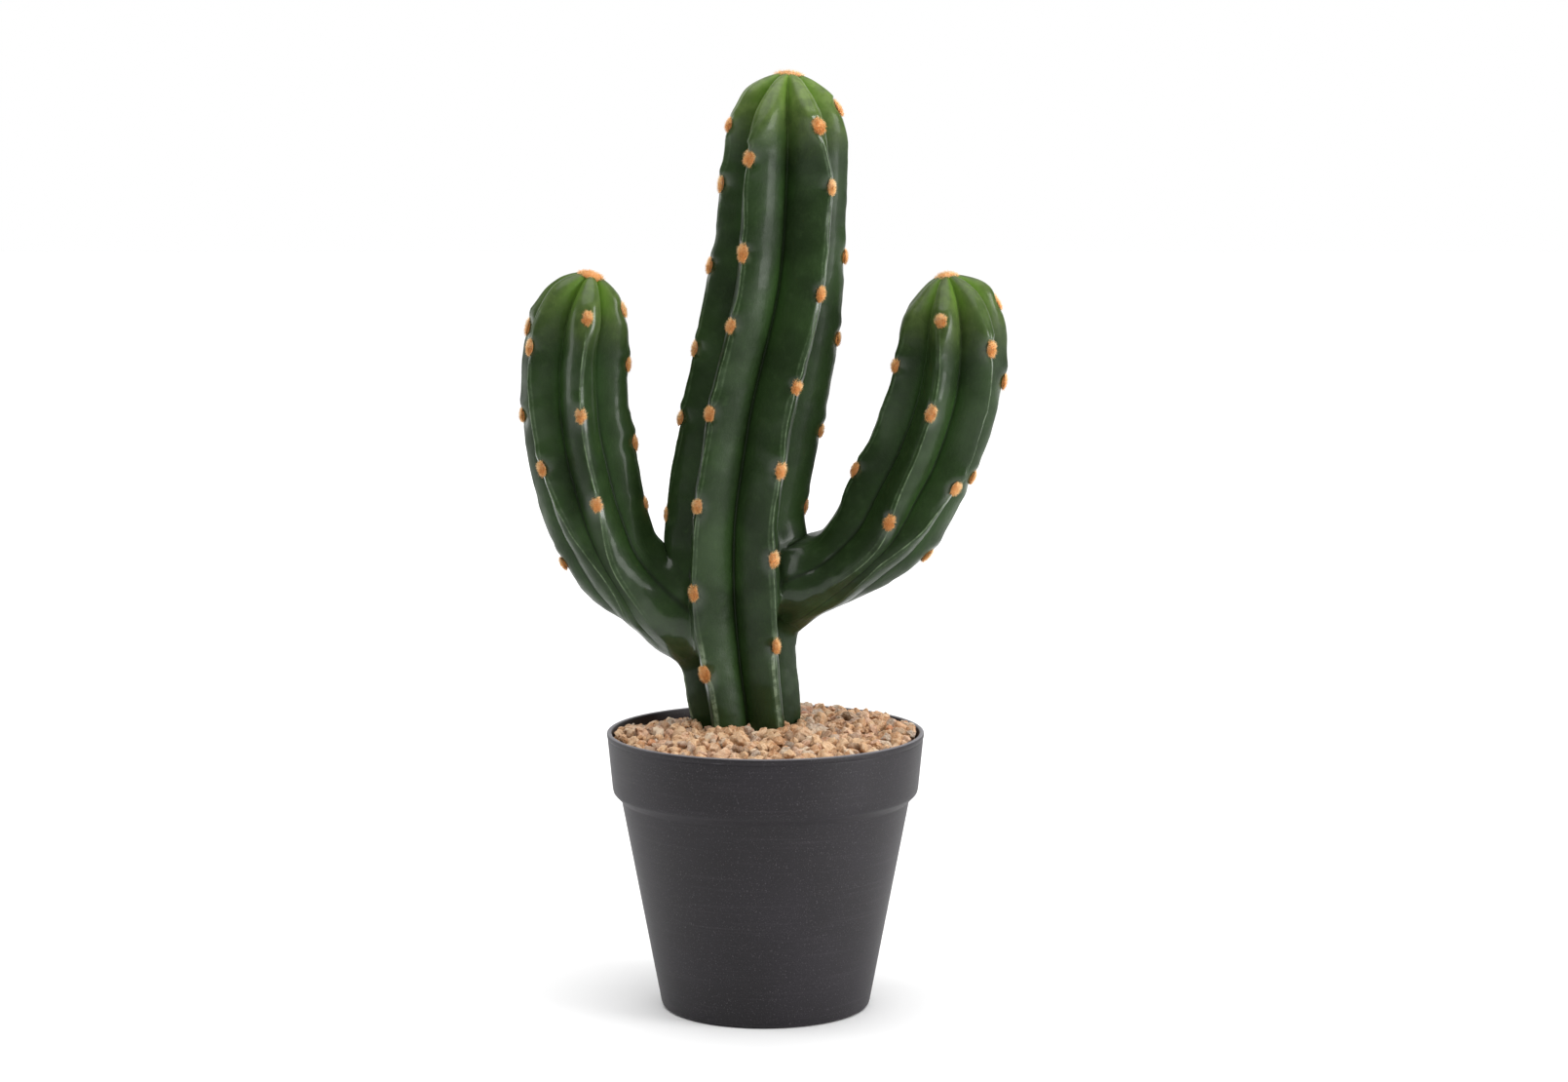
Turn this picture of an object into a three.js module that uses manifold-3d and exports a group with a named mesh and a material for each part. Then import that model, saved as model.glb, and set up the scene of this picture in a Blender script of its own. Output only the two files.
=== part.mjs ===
// A potted saguaro: a ribbed trunk with two arms, grown as one body, standing in gravel
// over potting mix in a tapered plastic pot. Millimetres, +Z up. The origin is on the pot's
// axis, on the plane that the pot stands on. The front of the plant faces -Y.
import * as THREE from 'three';
import { mergeVertices } from 'three/addons/utils/BufferGeometryUtils.js';
import Module from 'manifold-3d';

const wasm = await Module();
wasm.setup();

// Pot
const RIM_RADIUS = 60;
const RIM_HEIGHT = 105.2;
const RIM_ROUNDING = 1.1;
const BAND_BOTTOM = 83.8;
const BAND_BOTTOM_RADIUS = 57.8;
const BODY_TOP = 79.4;
const BODY_TOP_RADIUS = 54.5;
const BASE_RADIUS = 39.3;
const BASE_ROUNDING = 1.8;
const FOOT_INNER_RADIUS = 32;
const FOOT_HEIGHT = 2;
const WALL = 2;
const FLOOR_TOP = FOOT_HEIGHT + WALL;
const DRAIN_HOLES = 6;
const DRAIN_HOLE_RADIUS = 3.5;
const DRAIN_HOLE_CIRCLE = 20;

// Fill
const GAP = 0.35;
const MIX_TOP = 92;
const BED_WALL_HEIGHT = 100.4;
const BED_MIDDLE_HEIGHT = 104.8;
const STONE_RADIUS = 5;
const STONE_COUNT = 104;
const FILL_SEGMENTS = 32;

// Plant. A station is a point of a limb's centre line and the radius of its rib crests there.
// Rib angles, in degrees from the front and positive towards +X, are given at even steps from
// the limb's root to its tip. Tufts are given by their distance from the tip along the limb.
const RIB_STEPS = [0, 0.28, 0.5, 0.72];
const FURROW_SHARPNESS = 1.1;
const USUAL_RIB_ANGLE = 60;
const FURROW_GROWTH = 0.8;
const TUFT = { sides: 4, across: 2.6, along: 3.3, sunk: 4.2, hem: -0.9, top: 0.8, spike: 1.5 };
const TUFT_STEP = 31;

const TRUNK = {
  stations: [
    [-7, 10, 76, 15], [-7, 9.5, 104, 20.5], [-10, 8.5, 132, 22], [-11.8, 7.5, 160, 24],
    [-11.2, 6.5, 188, 26], [-6.4, 6, 216, 26.6], [-0.4, 6, 246, 26.6], [3.9, 6, 274, 25.8],
    [6.2, 6, 300, 24.2], [7.6, 6, 326, 23.2], [8.8, 6, 351.4, 22],
  ],
  root: 8,
  dome: 26,
  rows: 36,
  furrow: [0.4, 0.42, 0.42, 0.42, 0.42, 0.46],
  ribs: [
    { angles: [-84, -86, -87, -86, -81, -81, -78, -66], tufts: [20, 42, 74, 107, 134, 168, 200] },
    { angles: [-34, -35, -39, -33, -37, -30, -36, -20], tufts: [32, 67, 95, 129, 162, 193, 223] },
    { angles: [42, 41, 40, 34, 30, 41, 48, 18], tufts: [19, 41, 79, 113, 144, 180, 215] },
    { angles: [100, 98, 96, 98, 97, 99, 98, 88], tufts: [12, 66, 95, 129, 160] },
    { angles: [152, 156, 154, 158, 153, 156, 152, 155] },
    { angles: [214, 211, 216, 212, 217, 213, 216, 222] },
  ],
  tuftsFrom: 22,
  tuftsTo: 232,
};

const LEFT_ARM = {
  stations: [
    [-17, 10, 137, 12.5], [-28, 9, 144.5, 14.8], [-44, 7, 155.8, 15], [-56.3, 5.5, 168.3, 16.9],
    [-63.2, 5, 184, 19.1], [-67.8, 4, 204, 20.3], [-70.8, 3, 224, 20.5], [-71.2, 2, 243, 20],
    [-68.6, 0, 261.5, 18.6], [-64.5, -3, 277.5, 17.6],
  ],
  root: 8,
  dome: 24,
  rows: 26,
  furrow: [0, 0.14, 0.33, 0.38, 0.42],
  ribs: [
    { angles: [-165, -135, -98, -97, -97, -98, -99, -100], tufts: [24, 53, 105] },
    { angles: [-120, -80, -24, -33, -46, -53, -60, -66], tufts: [29, 70] },
    { angles: [-60, -34, -5, 8, 7, 9, 11, 12], tufts: [13, 52, 86] },
    { angles: [75, 84, 91, 91, 91, 92, 91, 90], tufts: [10, 33, 68, 94] },
    { angles: [118, 132, 148, 150, 149, 147, 146, 148] },
    { angles: [156, 178, 204, 206, 205, 208, 207, 204] },
  ],
  tuftsFrom: 18,
  tuftsTo: 112,
};

const RIGHT_ARM = {
  stations: [
    [-2, 10, 152, 12], [9, 9.5, 157.5, 14.2], [22, 8, 163.4, 14.2], [35.2, 6.5, 173, 17.4],
    [45.4, 6, 184, 21], [53.7, 5.5, 199.5, 22], [60.6, 5, 216, 22.4], [65.8, 4.5, 233, 23],
    [68.4, 4, 250, 22.2], [69, 3, 265.5, 20.3], [67.6, 2, 277, 18],
  ],
  root: 8,
  dome: 22,
  rows: 26,
  furrow: [0, 0.16, 0.36, 0.4, 0.42],
  ribs: [
    { angles: [-70, -66, -67, -70, -67, -59, -58, -60], tufts: [36, 84] },
    { angles: [30, 20, 11, -5, -6, -8, -11, -16], tufts: [15, 51, 95] },
    { angles: [105, 57, 28, 37, 51, 49, 43, 36], tufts: [25, 74] },
    { angles: [150, 118, 99, 100, 99, 98, 95, 92], tufts: [11, 37, 70, 99] },
    { angles: [190, 165, 155, 156, 155, 152, 153, 155] },
    { angles: [240, 230, 223, 225, 224, 223, 226, 228] },
  ],
  tuftsFrom: 16,
  tuftsTo: 104,
};

// The same draws each time, between 0 and 1.
function makeRandom(seed) {
  let state = seed;
  return () => {
    state = (state * 1664525 + 1013904223) % 4294967296;
    return state / 4294967296;
  };
}

// A closed geometry as a solid that can be joined and cut.
function toSolid(geometry) {
  const bare = geometry.clone();
  bare.deleteAttribute('normal');
  bare.deleteAttribute('uv');
  const merged = mergeVertices(bare, 1e-4);
  return new wasm.Manifold(new wasm.Mesh({
    numProp: 3,
    vertProperties: merged.attributes.position.array,
    triVerts: new Uint32Array(merged.index.array),
  }));
}

// The largest body of a solid, without the crumbs that a cut can leave.
function mainBody(solid) {
  return solid.decompose().sort((a, b) => b.volume() - a.volume())[0];
}

function toMesh(name, solid, material) {
  const { vertProperties, triVerts } = solid.getMesh();
  const geometry = new THREE.BufferGeometry();
  geometry.setAttribute('position', new THREE.BufferAttribute(vertProperties, 3));
  geometry.setIndex(new THREE.BufferAttribute(triVerts, 1));
  geometry.computeVertexNormals();
  const mesh = new THREE.Mesh(geometry, material);
  mesh.name = name;
  return mesh;
}

// A body turned round the Z axis from a profile of [radius, height] points.
function turned(profile, segments) {
  const points = profile.map(([radius, height]) => new THREE.Vector2(radius, height));
  return new THREE.LatheGeometry(points, segments).rotateX(Math.PI / 2);
}

// Passes smoothly through evenly spaced values, from the first at share 0 to the last at 1.
function between(values, share) {
  const line = new THREE.SplineCurve(values.map((value, i) => new THREE.Vector2(i, value)));
  return line.getPoint(share).y;
}

// How far an elliptical end of the given length has opened at a distance from its pole.
function rounding(distance, length) {
  const left = THREE.MathUtils.clamp((length - distance) / length, 0, 1);
  return Math.sqrt(1 - left * left);
}

class Limb {
  constructor(shape) {
    this.shape = shape;
    this.spine = new THREE.CatmullRomCurve3(
      shape.stations.map(([x, y, z]) => new THREE.Vector3(x, y, z)), false, 'catmullrom', 0.5);
    this.girths = new THREE.CatmullRomCurve3(
      shape.stations.map(([, , , radius]) => new THREE.Vector3(radius, 0, 0)), false, 'catmullrom', 0.5);
    this.length = this.spine.getLength();
  }

  // The centre, and the directions along, to the front and to the side, at a share of the length.
  frame(share) {
    const centre = this.spine.getPointAt(share);
    const along = this.spine.getTangentAt(share);
    const front = new THREE.Vector3(0, -1, 0).projectOnPlane(along).normalize();
    const side = new THREE.Vector3().crossVectors(along, front);
    return { centre, along, front, side };
  }

  girth(share) {
    const radius = this.girths.getPoint(this.spine.getUtoTmapping(share)).x;
    const fromTip = (1 - share) * this.length;
    const fromRoot = share * this.length;
    return radius * rounding(fromTip, this.shape.dome) * rounding(fromRoot, this.shape.root);
  }

  crest(rib, share) {
    const turn = rib === this.shape.ribs.length ? 360 : 0;
    return between(this.shape.ribs[rib % this.shape.ribs.length].angles, share) + turn;
  }

  // The point of the skin a part of the way, from 0 to 1, from one rib's crest to the next one's.
  skin(share, rib, part, clearance = 0) {
    const from = this.crest(rib, share);
    const span = this.crest(rib + 1, share) - from;
    const angle = THREE.MathUtils.degToRad(from + span * part);
    const towardsFurrow = 1 - Math.abs(2 * part - 1);
    const depth = between(this.shape.furrow, share)
      * Math.pow(span / USUAL_RIB_ANGLE, FURROW_GROWTH)
      * Math.pow(towardsFurrow, FURROW_SHARPNESS);
    const { centre, front, side } = this.frame(share);
    const radius = this.girth(share) * (1 - depth) + clearance;
    return centre.addScaledVector(front, radius * Math.cos(angle)).addScaledVector(side, radius * Math.sin(angle));
  }

  // Rows stand evenly up to the dome, and close up over it towards the tip.
  rowShare(row) {
    const domeRows = 7;
    const domeStart = 1 - this.shape.dome / this.length;
    const bodyRows = this.shape.rows - domeRows;
    if (row <= bodyRows) return domeStart * (row / bodyRows);
    const rise = Math.sin(((row - bodyRows) / domeRows) * (Math.PI / 2));
    return domeStart + (1 - domeStart) * rise;
  }

  // The flesh: a sphere whose meridians are laid along the ribs and furrows.
  flesh(clearance = 0) {
    const perRib = RIB_STEPS.length;
    const around = perRib * this.shape.ribs.length;
    const geometry = new THREE.SphereGeometry(1, around, this.shape.rows);
    const { position, uv } = geometry.attributes;
    for (let i = 0; i < position.count; i++) {
      const row = Math.round(uv.getY(i) * this.shape.rows);
      const atPole = row === 0 || row === this.shape.rows;
      const column = atPole ? 0 : Math.round(uv.getX(i) * around) % around;
      const rib = Math.floor(column / perRib);
      const point = this.skin(this.rowShare(row), rib, RIB_STEPS[column % perRib], atPole ? 0 : clearance);
      position.setXYZ(i, point.x, point.y, point.z);
    }
    return geometry;
  }

  // A tuft on a rib's crest, turned to stand out of the skin there.
  tuftOnRib(rib, fromTip, random) {
    const share = 1 - fromTip / this.length;
    const foot = this.skin(share, rib, 0);
    const step = 2 / this.length;
    const along = this.skin(Math.min(share + step, 1), rib, 0).sub(this.skin(share - step, rib, 0)).normalize();
    const outward = foot.clone().sub(this.frame(share).centre).projectOnPlane(along).normalize();
    const size = 0.85 + 0.3 * random();
    return tuft(foot, along, outward, size, size, random);
  }

  // The tufts that the front shows stand where they were measured. Those of the other ribs
  // follow the same spacing, a little unevenly and staggered from rib to rib.
  tufts(random) {
    const { ribs, tuftsFrom, tuftsTo } = this.shape;
    return ribs.flatMap(({ tufts }, rib) => {
      const distances = tufts ?? [];
      if (!tufts) {
        const start = tuftsFrom + TUFT_STEP * 0.5 * (rib % 2);
        for (let d = start; d < tuftsTo; d += TUFT_STEP * (0.9 + 0.2 * random())) distances.push(d);
      }
      return distances.map((d) => this.tuftOnRib(rib, d, random));
    });
  }

  // The larger tuft that sits in the hollow of the tip.
  tipTuft(random) {
    const { centre, along, front } = this.frame(1);
    return tuft(centre, front, along, 1.9, 0.9, random);
  }
}

// A tuft of short stiff hairs as a burr: a stub sunk in the skin, with a spike raised on each
// face of its sides and its top.
function tuft(foot, along, outward, width, height, random) {
  const ring = (z, share) => Array.from({ length: TUFT.sides }, (_, i) => {
    const angle = (2 * Math.PI * i) / TUFT.sides;
    return new THREE.Vector3(share * TUFT.across * Math.cos(angle), share * TUFT.along * Math.sin(angle), z);
  });
  const points = [];
  const spikeOn = (corners, outwards) => {
    const middle = corners.reduce((sum, corner) => sum.add(corner), new THREE.Vector3()).divideScalar(corners.length);
    const direction = new THREE.Vector3(middle.x, middle.y, 0).normalize().multiplyScalar(outwards);
    direction.z = 1;
    middle.addScaledVector(direction.normalize(), TUFT.spike * (0.8 + 0.4 * random()));
    corners.forEach((corner, i) => points.push(corner, corners[(i + 1) % corners.length], middle));
  };
  const [bottom, hem, top] = [ring(-TUFT.sunk, 0.7), ring(TUFT.hem, 1), ring(TUFT.top, 0.62)];
  const root = new THREE.Vector3(0, 0, -TUFT.sunk);
  const crown = new THREE.Vector3(0, 0, 1.3 * TUFT.top);
  for (let i = 0; i < TUFT.sides; i++) {
    const next = (i + 1) % TUFT.sides;
    points.push(root, bottom[next], bottom[i]);
    points.push(bottom[i], bottom[next], hem[next], bottom[i], hem[next], hem[i]);
    spikeOn([hem[i], hem[next], top[next], top[i]], 1.6);
    spikeOn([top[i], top[next], crown], 0.5);
  }
  const across = new THREE.Vector3().crossVectors(along, outward);
  const geometry = new THREE.BufferGeometry().setFromPoints(points).scale(width, width, height);
  geometry.applyMatrix4(new THREE.Matrix4().makeBasis(across, along, outward));
  return geometry.translate(foot.x, foot.y, foot.z);
}

function makeSaguaro() {
  const random = makeRandom(7);
  const limbs = [TRUNK, LEFT_ARM, RIGHT_ARM].map((shape) => new Limb(shape));
  const flesh = limbs.map((limb) => toSolid(limb.flesh())).reduce((body, limb) => body.add(limb));
  const tufts = limbs.flatMap((limb) => [...limb.tufts(random), limb.tipTuft(random)]);
  return mainBody(tufts.reduce((body, geometry) => body.add(toSolid(geometry)), flesh));
}

// The hole that the buried end of the trunk stands in: the trunk itself, a little larger.
function makeStemHole() {
  return toSolid(new Limb(TRUNK).flesh(GAP + 0.1).translate(0, 0, -GAP));
}

// Radius of the pot's outer face at a height on its body or on the band round its rim.
function bodyRadius(height) {
  return THREE.MathUtils.mapLinear(height, 0, BODY_TOP, BASE_RADIUS, BODY_TOP_RADIUS);
}

function bandRadius(height) {
  return THREE.MathUtils.mapLinear(height, BAND_BOTTOM, RIM_HEIGHT, BAND_BOTTOM_RADIUS, RIM_RADIUS);
}

// Points of a quarter round from one direction to another, in degrees from the radius outwards.
function quarterRound(radius, height, rounding, fromDegrees, toDegrees) {
  return [0, 0.5, 1].map((part) => {
    const angle = THREE.MathUtils.degToRad(fromDegrees + (toDegrees - fromDegrees) * part);
    return [radius + rounding * Math.cos(angle), height + rounding * Math.sin(angle)];
  });
}

// The pot's inner wall from its floor up to the band, with some clearance for what fills it.
function innerWall(clearance = 0) {
  const inset = WALL + clearance;
  return [
    [bodyRadius(FLOOR_TOP) - inset - WALL, FLOOR_TOP + clearance],
    [bodyRadius(FLOOR_TOP + WALL) - inset, FLOOR_TOP + WALL + clearance],
    [BODY_TOP_RADIUS - inset, BODY_TOP + 0.6],
    [BAND_BOTTOM_RADIUS - inset, BAND_BOTTOM + clearance],
  ];
}

function makePot() {
  const profile = [
    [0, FOOT_HEIGHT],
    [FOOT_INNER_RADIUS - FOOT_HEIGHT, FOOT_HEIGHT],
    [FOOT_INNER_RADIUS, 0],
    ...quarterRound(BASE_RADIUS - BASE_ROUNDING, BASE_ROUNDING, BASE_ROUNDING, -90, 0),
    [BODY_TOP_RADIUS, BODY_TOP],
    [BAND_BOTTOM_RADIUS - 0.3, BAND_BOTTOM - 1.4],
    [BAND_BOTTOM_RADIUS, BAND_BOTTOM],
    ...quarterRound(RIM_RADIUS - RIM_ROUNDING, RIM_HEIGHT - RIM_ROUNDING, RIM_ROUNDING, 0, 90),
    [RIM_RADIUS - WALL, RIM_HEIGHT - 0.5],
    ...innerWall().reverse(),
    [0, FLOOR_TOP],
  ];
  let pot = toSolid(turned(profile, 56));
  for (let i = 0; i < DRAIN_HOLES; i++) {
    const angle = (2 * Math.PI * i) / DRAIN_HOLES;
    const hole = new THREE.CylinderGeometry(DRAIN_HOLE_RADIUS, DRAIN_HOLE_RADIUS, 3 * FLOOR_TOP, 16);
    hole.rotateX(Math.PI / 2);
    hole.translate(DRAIN_HOLE_CIRCLE * Math.cos(angle), DRAIN_HOLE_CIRCLE * Math.sin(angle), FLOOR_TOP);
    pot = pot.subtract(toSolid(hole));
  }
  return pot;
}

// The potting mix fills the pot from its floor to just under the gravel.
function makePottingMix(stemHole) {
  const profile = [
    [0, FLOOR_TOP + GAP],
    ...innerWall(GAP),
    [bandRadius(MIX_TOP) - WALL - GAP, MIX_TOP],
    [0, MIX_TOP],
  ];
  return mainBody(toSolid(turned(profile, FILL_SEGMENTS)).subtract(stemHole));
}

// Height of the gravel bed under its stones: highest in the middle, lowest at the wall.
function bedHeight(x, y) {
  return THREE.MathUtils.lerp(BED_MIDDLE_HEIGHT, BED_WALL_HEIGHT, Math.hypot(x, y) / RIM_RADIUS);
}

function makeStone(x, y, random) {
  const stone = new THREE.IcosahedronGeometry(STONE_RADIUS, 0);
  const stretch = () => 0.8 + 0.3 * random();
  stone.rotateX(Math.PI * random());
  stone.scale(stretch(), stretch(), 0.8 * stretch());
  stone.rotateZ(2 * Math.PI * random());
  const lift = STONE_RADIUS * 0.4 * (random() - 0.3);
  return stone.translate(x, y, bedHeight(x, y) + lift);
}

// The gravel is a bed with stones laid over it in a sunflower spiral, pushed about a little.
function makeGravel(stemHole) {
  const random = makeRandom(31);
  const bottom = MIX_TOP + GAP;
  const inset = WALL + GAP;
  const bed = [
    [0, bottom],
    [bandRadius(bottom) - inset, bottom],
    [bandRadius(BED_WALL_HEIGHT) - inset, BED_WALL_HEIGHT],
    [0, BED_MIDDLE_HEIGHT],
  ];
  let gravel = toSolid(turned(bed, FILL_SEGMENTS));
  const goldenAngle = Math.PI * (3 - Math.sqrt(5));
  for (let i = 0; i < STONE_COUNT; i++) {
    const radius = (RIM_RADIUS - 1.6 * WALL) * Math.sqrt((i + 0.5) / STONE_COUNT);
    const angle = i * goldenAngle;
    const x = radius * Math.cos(angle) + (random() - 0.5);
    const y = radius * Math.sin(angle) + (random() - 0.5);
    gravel = gravel.add(toSolid(makeStone(x, y, random)));
  }
  const room = turned([
    [0, bottom],
    [bandRadius(bottom) - inset, bottom],
    [RIM_RADIUS - inset - 0.1, RIM_HEIGHT],
    [RIM_RADIUS - inset - 0.1, RIM_HEIGHT + 20],
    [0, RIM_HEIGHT + 20],
  ], FILL_SEGMENTS);
  return mainBody(gravel.intersect(toSolid(room)).subtract(stemHole));
}

const stemHole = makeStemHole();
const plastic = new THREE.MeshStandardMaterial({ color: 0x3c3a3e, roughness: 0.55, metalness: 0 });
const skin = new THREE.MeshStandardMaterial({ color: 0x2f4a2b, roughness: 0.3, metalness: 0 });
const stone = new THREE.MeshStandardMaterial({ color: 0xc9a887, roughness: 0.7, metalness: 0 });
const earth = new THREE.MeshStandardMaterial({ color: 0x4a3a2c, roughness: 0.95, metalness: 0 });

const group = new THREE.Group();
group.add(toMesh('pot', makePot(), plastic));
group.add(toMesh('potting_mix', makePottingMix(stemHole), earth));
group.add(toMesh('gravel', makeGravel(stemHole), stone));
group.add(toMesh('saguaro', makeSaguaro(), skin));

export default group;
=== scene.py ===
# %% [markdown]
# # A potted saguaro
# This is an imitation saguaro: a glossy moulded plant with a ribbed trunk and two ribbed arms, whose
# areoles carry tufts of orange fibre. It stands in gravel in a tapered plastic pot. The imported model
# gives the solids, and this script dresses them: it builds finer pieces in the same place and gives
# every surface its finish. Lengths are in millimetres, as for the solids, and become Blender's metres
# where a mesh is made.

import math

import bmesh
import bpy
import numpy as np
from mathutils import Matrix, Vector, noise


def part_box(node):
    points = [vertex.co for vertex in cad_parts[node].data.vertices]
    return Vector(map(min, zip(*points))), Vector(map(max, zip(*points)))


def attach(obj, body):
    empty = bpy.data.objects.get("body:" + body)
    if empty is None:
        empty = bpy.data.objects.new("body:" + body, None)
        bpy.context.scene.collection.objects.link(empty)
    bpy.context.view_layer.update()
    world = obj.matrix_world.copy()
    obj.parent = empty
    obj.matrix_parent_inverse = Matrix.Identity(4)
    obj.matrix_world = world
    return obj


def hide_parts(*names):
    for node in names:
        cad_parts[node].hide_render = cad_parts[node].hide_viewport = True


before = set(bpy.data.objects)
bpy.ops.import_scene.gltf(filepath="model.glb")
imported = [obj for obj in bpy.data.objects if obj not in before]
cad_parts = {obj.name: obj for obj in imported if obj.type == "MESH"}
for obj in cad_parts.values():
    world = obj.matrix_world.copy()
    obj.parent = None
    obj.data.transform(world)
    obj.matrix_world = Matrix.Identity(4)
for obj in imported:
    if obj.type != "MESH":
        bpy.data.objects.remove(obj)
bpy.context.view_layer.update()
MM = 0.001
print("the solids:", sorted(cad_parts))

# %% [markdown]
# ## Helpers for meshes
# Ribs, fibres and stones follow rules that are shorter to write as sums than to model by hand, so most
# pieces are worked out as arrays of points. Values that the finish needs, such as how deep a point lies
# in a furrow, are kept on the mesh as attributes, which a shader can read.

# %% Make a mesh object from arrays
def make_object(name, points, faces, smooth=True):
    """faces is a list of index arrays, each with its own number of corners."""
    corners = [face for group in faces for face in group.tolist()]
    mesh = bpy.data.meshes.new(name)
    mesh.from_pydata((points * MM).tolist(), [], corners, shade_flat=not smooth)
    mesh.validate()
    piece = bpy.data.objects.new(name, mesh)
    bpy.context.scene.collection.objects.link(piece)
    return piece


def keep_values(piece, **values):
    """Stores one number for each point of the mesh, for the shader."""
    for name, numbers in values.items():
        attribute = piece.data.attributes.new(name, "FLOAT", "POINT")
        attribute.data.foreach_set("value", np.asarray(numbers, np.float32))


def positions(piece):
    """The points of a mesh, in millimetres."""
    flat = np.empty(len(piece.data.vertices) * 3, np.float32)
    piece.data.vertices.foreach_get("co", flat)
    return flat.reshape(-1, 3).astype(float) / MM


def triangles(piece):
    return sum(len(face.vertices) - 2 for face in piece.data.polygons)


def combine(piece, others, operation):
    """Joins the others to a piece, or cuts them from it, and takes them away."""
    for other in others:
        step = piece.modifiers.new(other.name, "BOOLEAN")
        step.operation, step.solver, step.object = operation, "MANIFOLD", other
    bpy.context.view_layer.update()
    graph = bpy.context.evaluated_depsgraph_get()
    combined = bpy.data.meshes.new_from_object(piece.evaluated_get(graph))
    piece.modifiers.clear()
    piece.data = combined
    for other in others:
        bpy.data.objects.remove(other)


def bell(distance, width):
    """1 at distance 0, and falling away smoothly within about the width."""
    return np.exp(-((distance / width) ** 2))


def ramp(value, start, end):
    """0 before start, 1 after end, and smooth between them."""
    share = np.clip((value - start) / (end - start), 0, 1)
    return share * share * (3 - 2 * share)


def ripple(points, size):
    """Soft random waves of about that size in millimetres, from about -1 to 1."""
    return np.array([noise.noise(point) for point in (points / size).tolist()])


def closed_grid(rows, columns):
    """Faces of a bag of rows by columns points, closed round its columns, with a pole point at each end.

    The poles are the last two points, first the one beyond the last row, then the one before row 0."""
    index = np.arange(rows * columns).reshape(rows, columns)
    onward = np.roll(index, -1, axis=1)
    quads = np.stack([index[:-1], onward[:-1], onward[1:], index[1:]], axis=-1).reshape(-1, 4)
    far, near = rows * columns, rows * columns + 1
    tip = np.stack([index[-1], onward[-1], np.full(columns, far)], axis=-1)
    root = np.stack([onward[0], index[0], np.full(columns, near)], axis=-1)
    return [quads, np.vstack([tip, root])]


# %% [markdown]
# ## The limbs
# A limb is a line of stations, each with the radius of its rib crests, and six ribs that wander a
# little in angle from root to tip. These are the same driving numbers as the solids have, so the finer
# skin lies where the solid one does.

# %% Stations, ribs and tufts
TRUNK = dict(
    stations=[
        (-7, 10, 76, 15), (-7, 9.5, 104, 20.5), (-10, 8.5, 132, 22), (-11.8, 7.5, 160, 24),
        (-11.2, 6.5, 188, 26), (-6.4, 6, 216, 26.6), (-0.4, 6, 246, 26.6), (3.9, 6, 274, 25.8),
        (6.2, 6, 300, 24.2), (7.6, 6, 326, 23.2), (8.8, 6, 351.4, 22),
    ],
    root=8,
    dome=26,
    furrow=[0.4, 0.42, 0.42, 0.42, 0.42, 0.46],
    ribs=[
        [-84, -86, -87, -86, -81, -81, -78, -66], [-34, -35, -39, -33, -37, -30, -36, -20],
        [42, 41, 40, 34, 30, 41, 48, 18], [100, 98, 96, 98, 97, 99, 98, 88],
        [152, 156, 154, 158, 153, 156, 152, 155], [214, 211, 216, 212, 217, 213, 216, 222],
    ],
    tufts=[
        [20, 42, 74, 107, 134, 168, 200], [32, 67, 95, 129, 162, 193, 223],
        [19, 41, 79, 113, 144, 180, 215], [12, 66, 95, 129, 160], None, None,
    ],
    tufts_between=(22, 232),
)
LEFT_ARM = dict(
    stations=[
        (-17, 10, 137, 12.5), (-28, 9, 144.5, 14.8), (-44, 7, 155.8, 15), (-56.3, 5.5, 168.3, 16.9),
        (-63.2, 5, 184, 19.1), (-67.8, 4, 204, 20.3), (-70.8, 3, 224, 20.5), (-71.2, 2, 243, 20),
        (-68.6, 0, 261.5, 18.6), (-64.5, -3, 277.5, 17.6),
    ],
    root=8,
    dome=24,
    furrow=[0, 0.14, 0.33, 0.38, 0.42],
    ribs=[
        [-165, -135, -98, -97, -97, -98, -99, -100], [-120, -80, -24, -33, -46, -53, -60, -66],
        [-60, -34, -5, 8, 7, 9, 11, 12], [75, 84, 91, 91, 91, 92, 91, 90],
        [118, 132, 148, 150, 149, 147, 146, 148], [156, 178, 204, 206, 205, 208, 207, 204],
    ],
    tufts=[[24, 53, 105], [29, 70], [13, 52, 86], [10, 33, 68, 94], None, None],
    tufts_between=(18, 112),
)
RIGHT_ARM = dict(
    stations=[
        (-2, 10, 152, 12), (9, 9.5, 157.5, 14.2), (22, 8, 163.4, 14.2), (35.2, 6.5, 173, 17.4),
        (45.4, 6, 184, 21), (53.7, 5.5, 199.5, 22), (60.6, 5, 216, 22.4), (65.8, 4.5, 233, 23),
        (68.4, 4, 250, 22.2), (69, 3, 265.5, 20.3), (67.6, 2, 277, 18),
    ],
    root=8,
    dome=22,
    furrow=[0, 0.16, 0.36, 0.4, 0.42],
    ribs=[
        [-70, -66, -67, -70, -67, -59, -58, -60], [30, 20, 11, -5, -6, -8, -11, -16],
        [105, 57, 28, 37, 51, 49, 43, 36], [150, 118, 99, 100, 99, 98, 95, 92],
        [190, 165, 155, 156, 155, 152, 153, 155], [240, 230, 223, 225, 224, 223, 226, 228],
    ],
    tufts=[[36, 84], [15, 51, 95], [25, 74], [11, 37, 70, 99], None, None],
    tufts_between=(16, 104),
)


# %% [markdown]
# The line of a limb passes through its stations as a Catmull-Rom curve. It is worked out in the script,
# because each point of the skin has to know how far it is from the tip and which rib it lies on.

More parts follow.
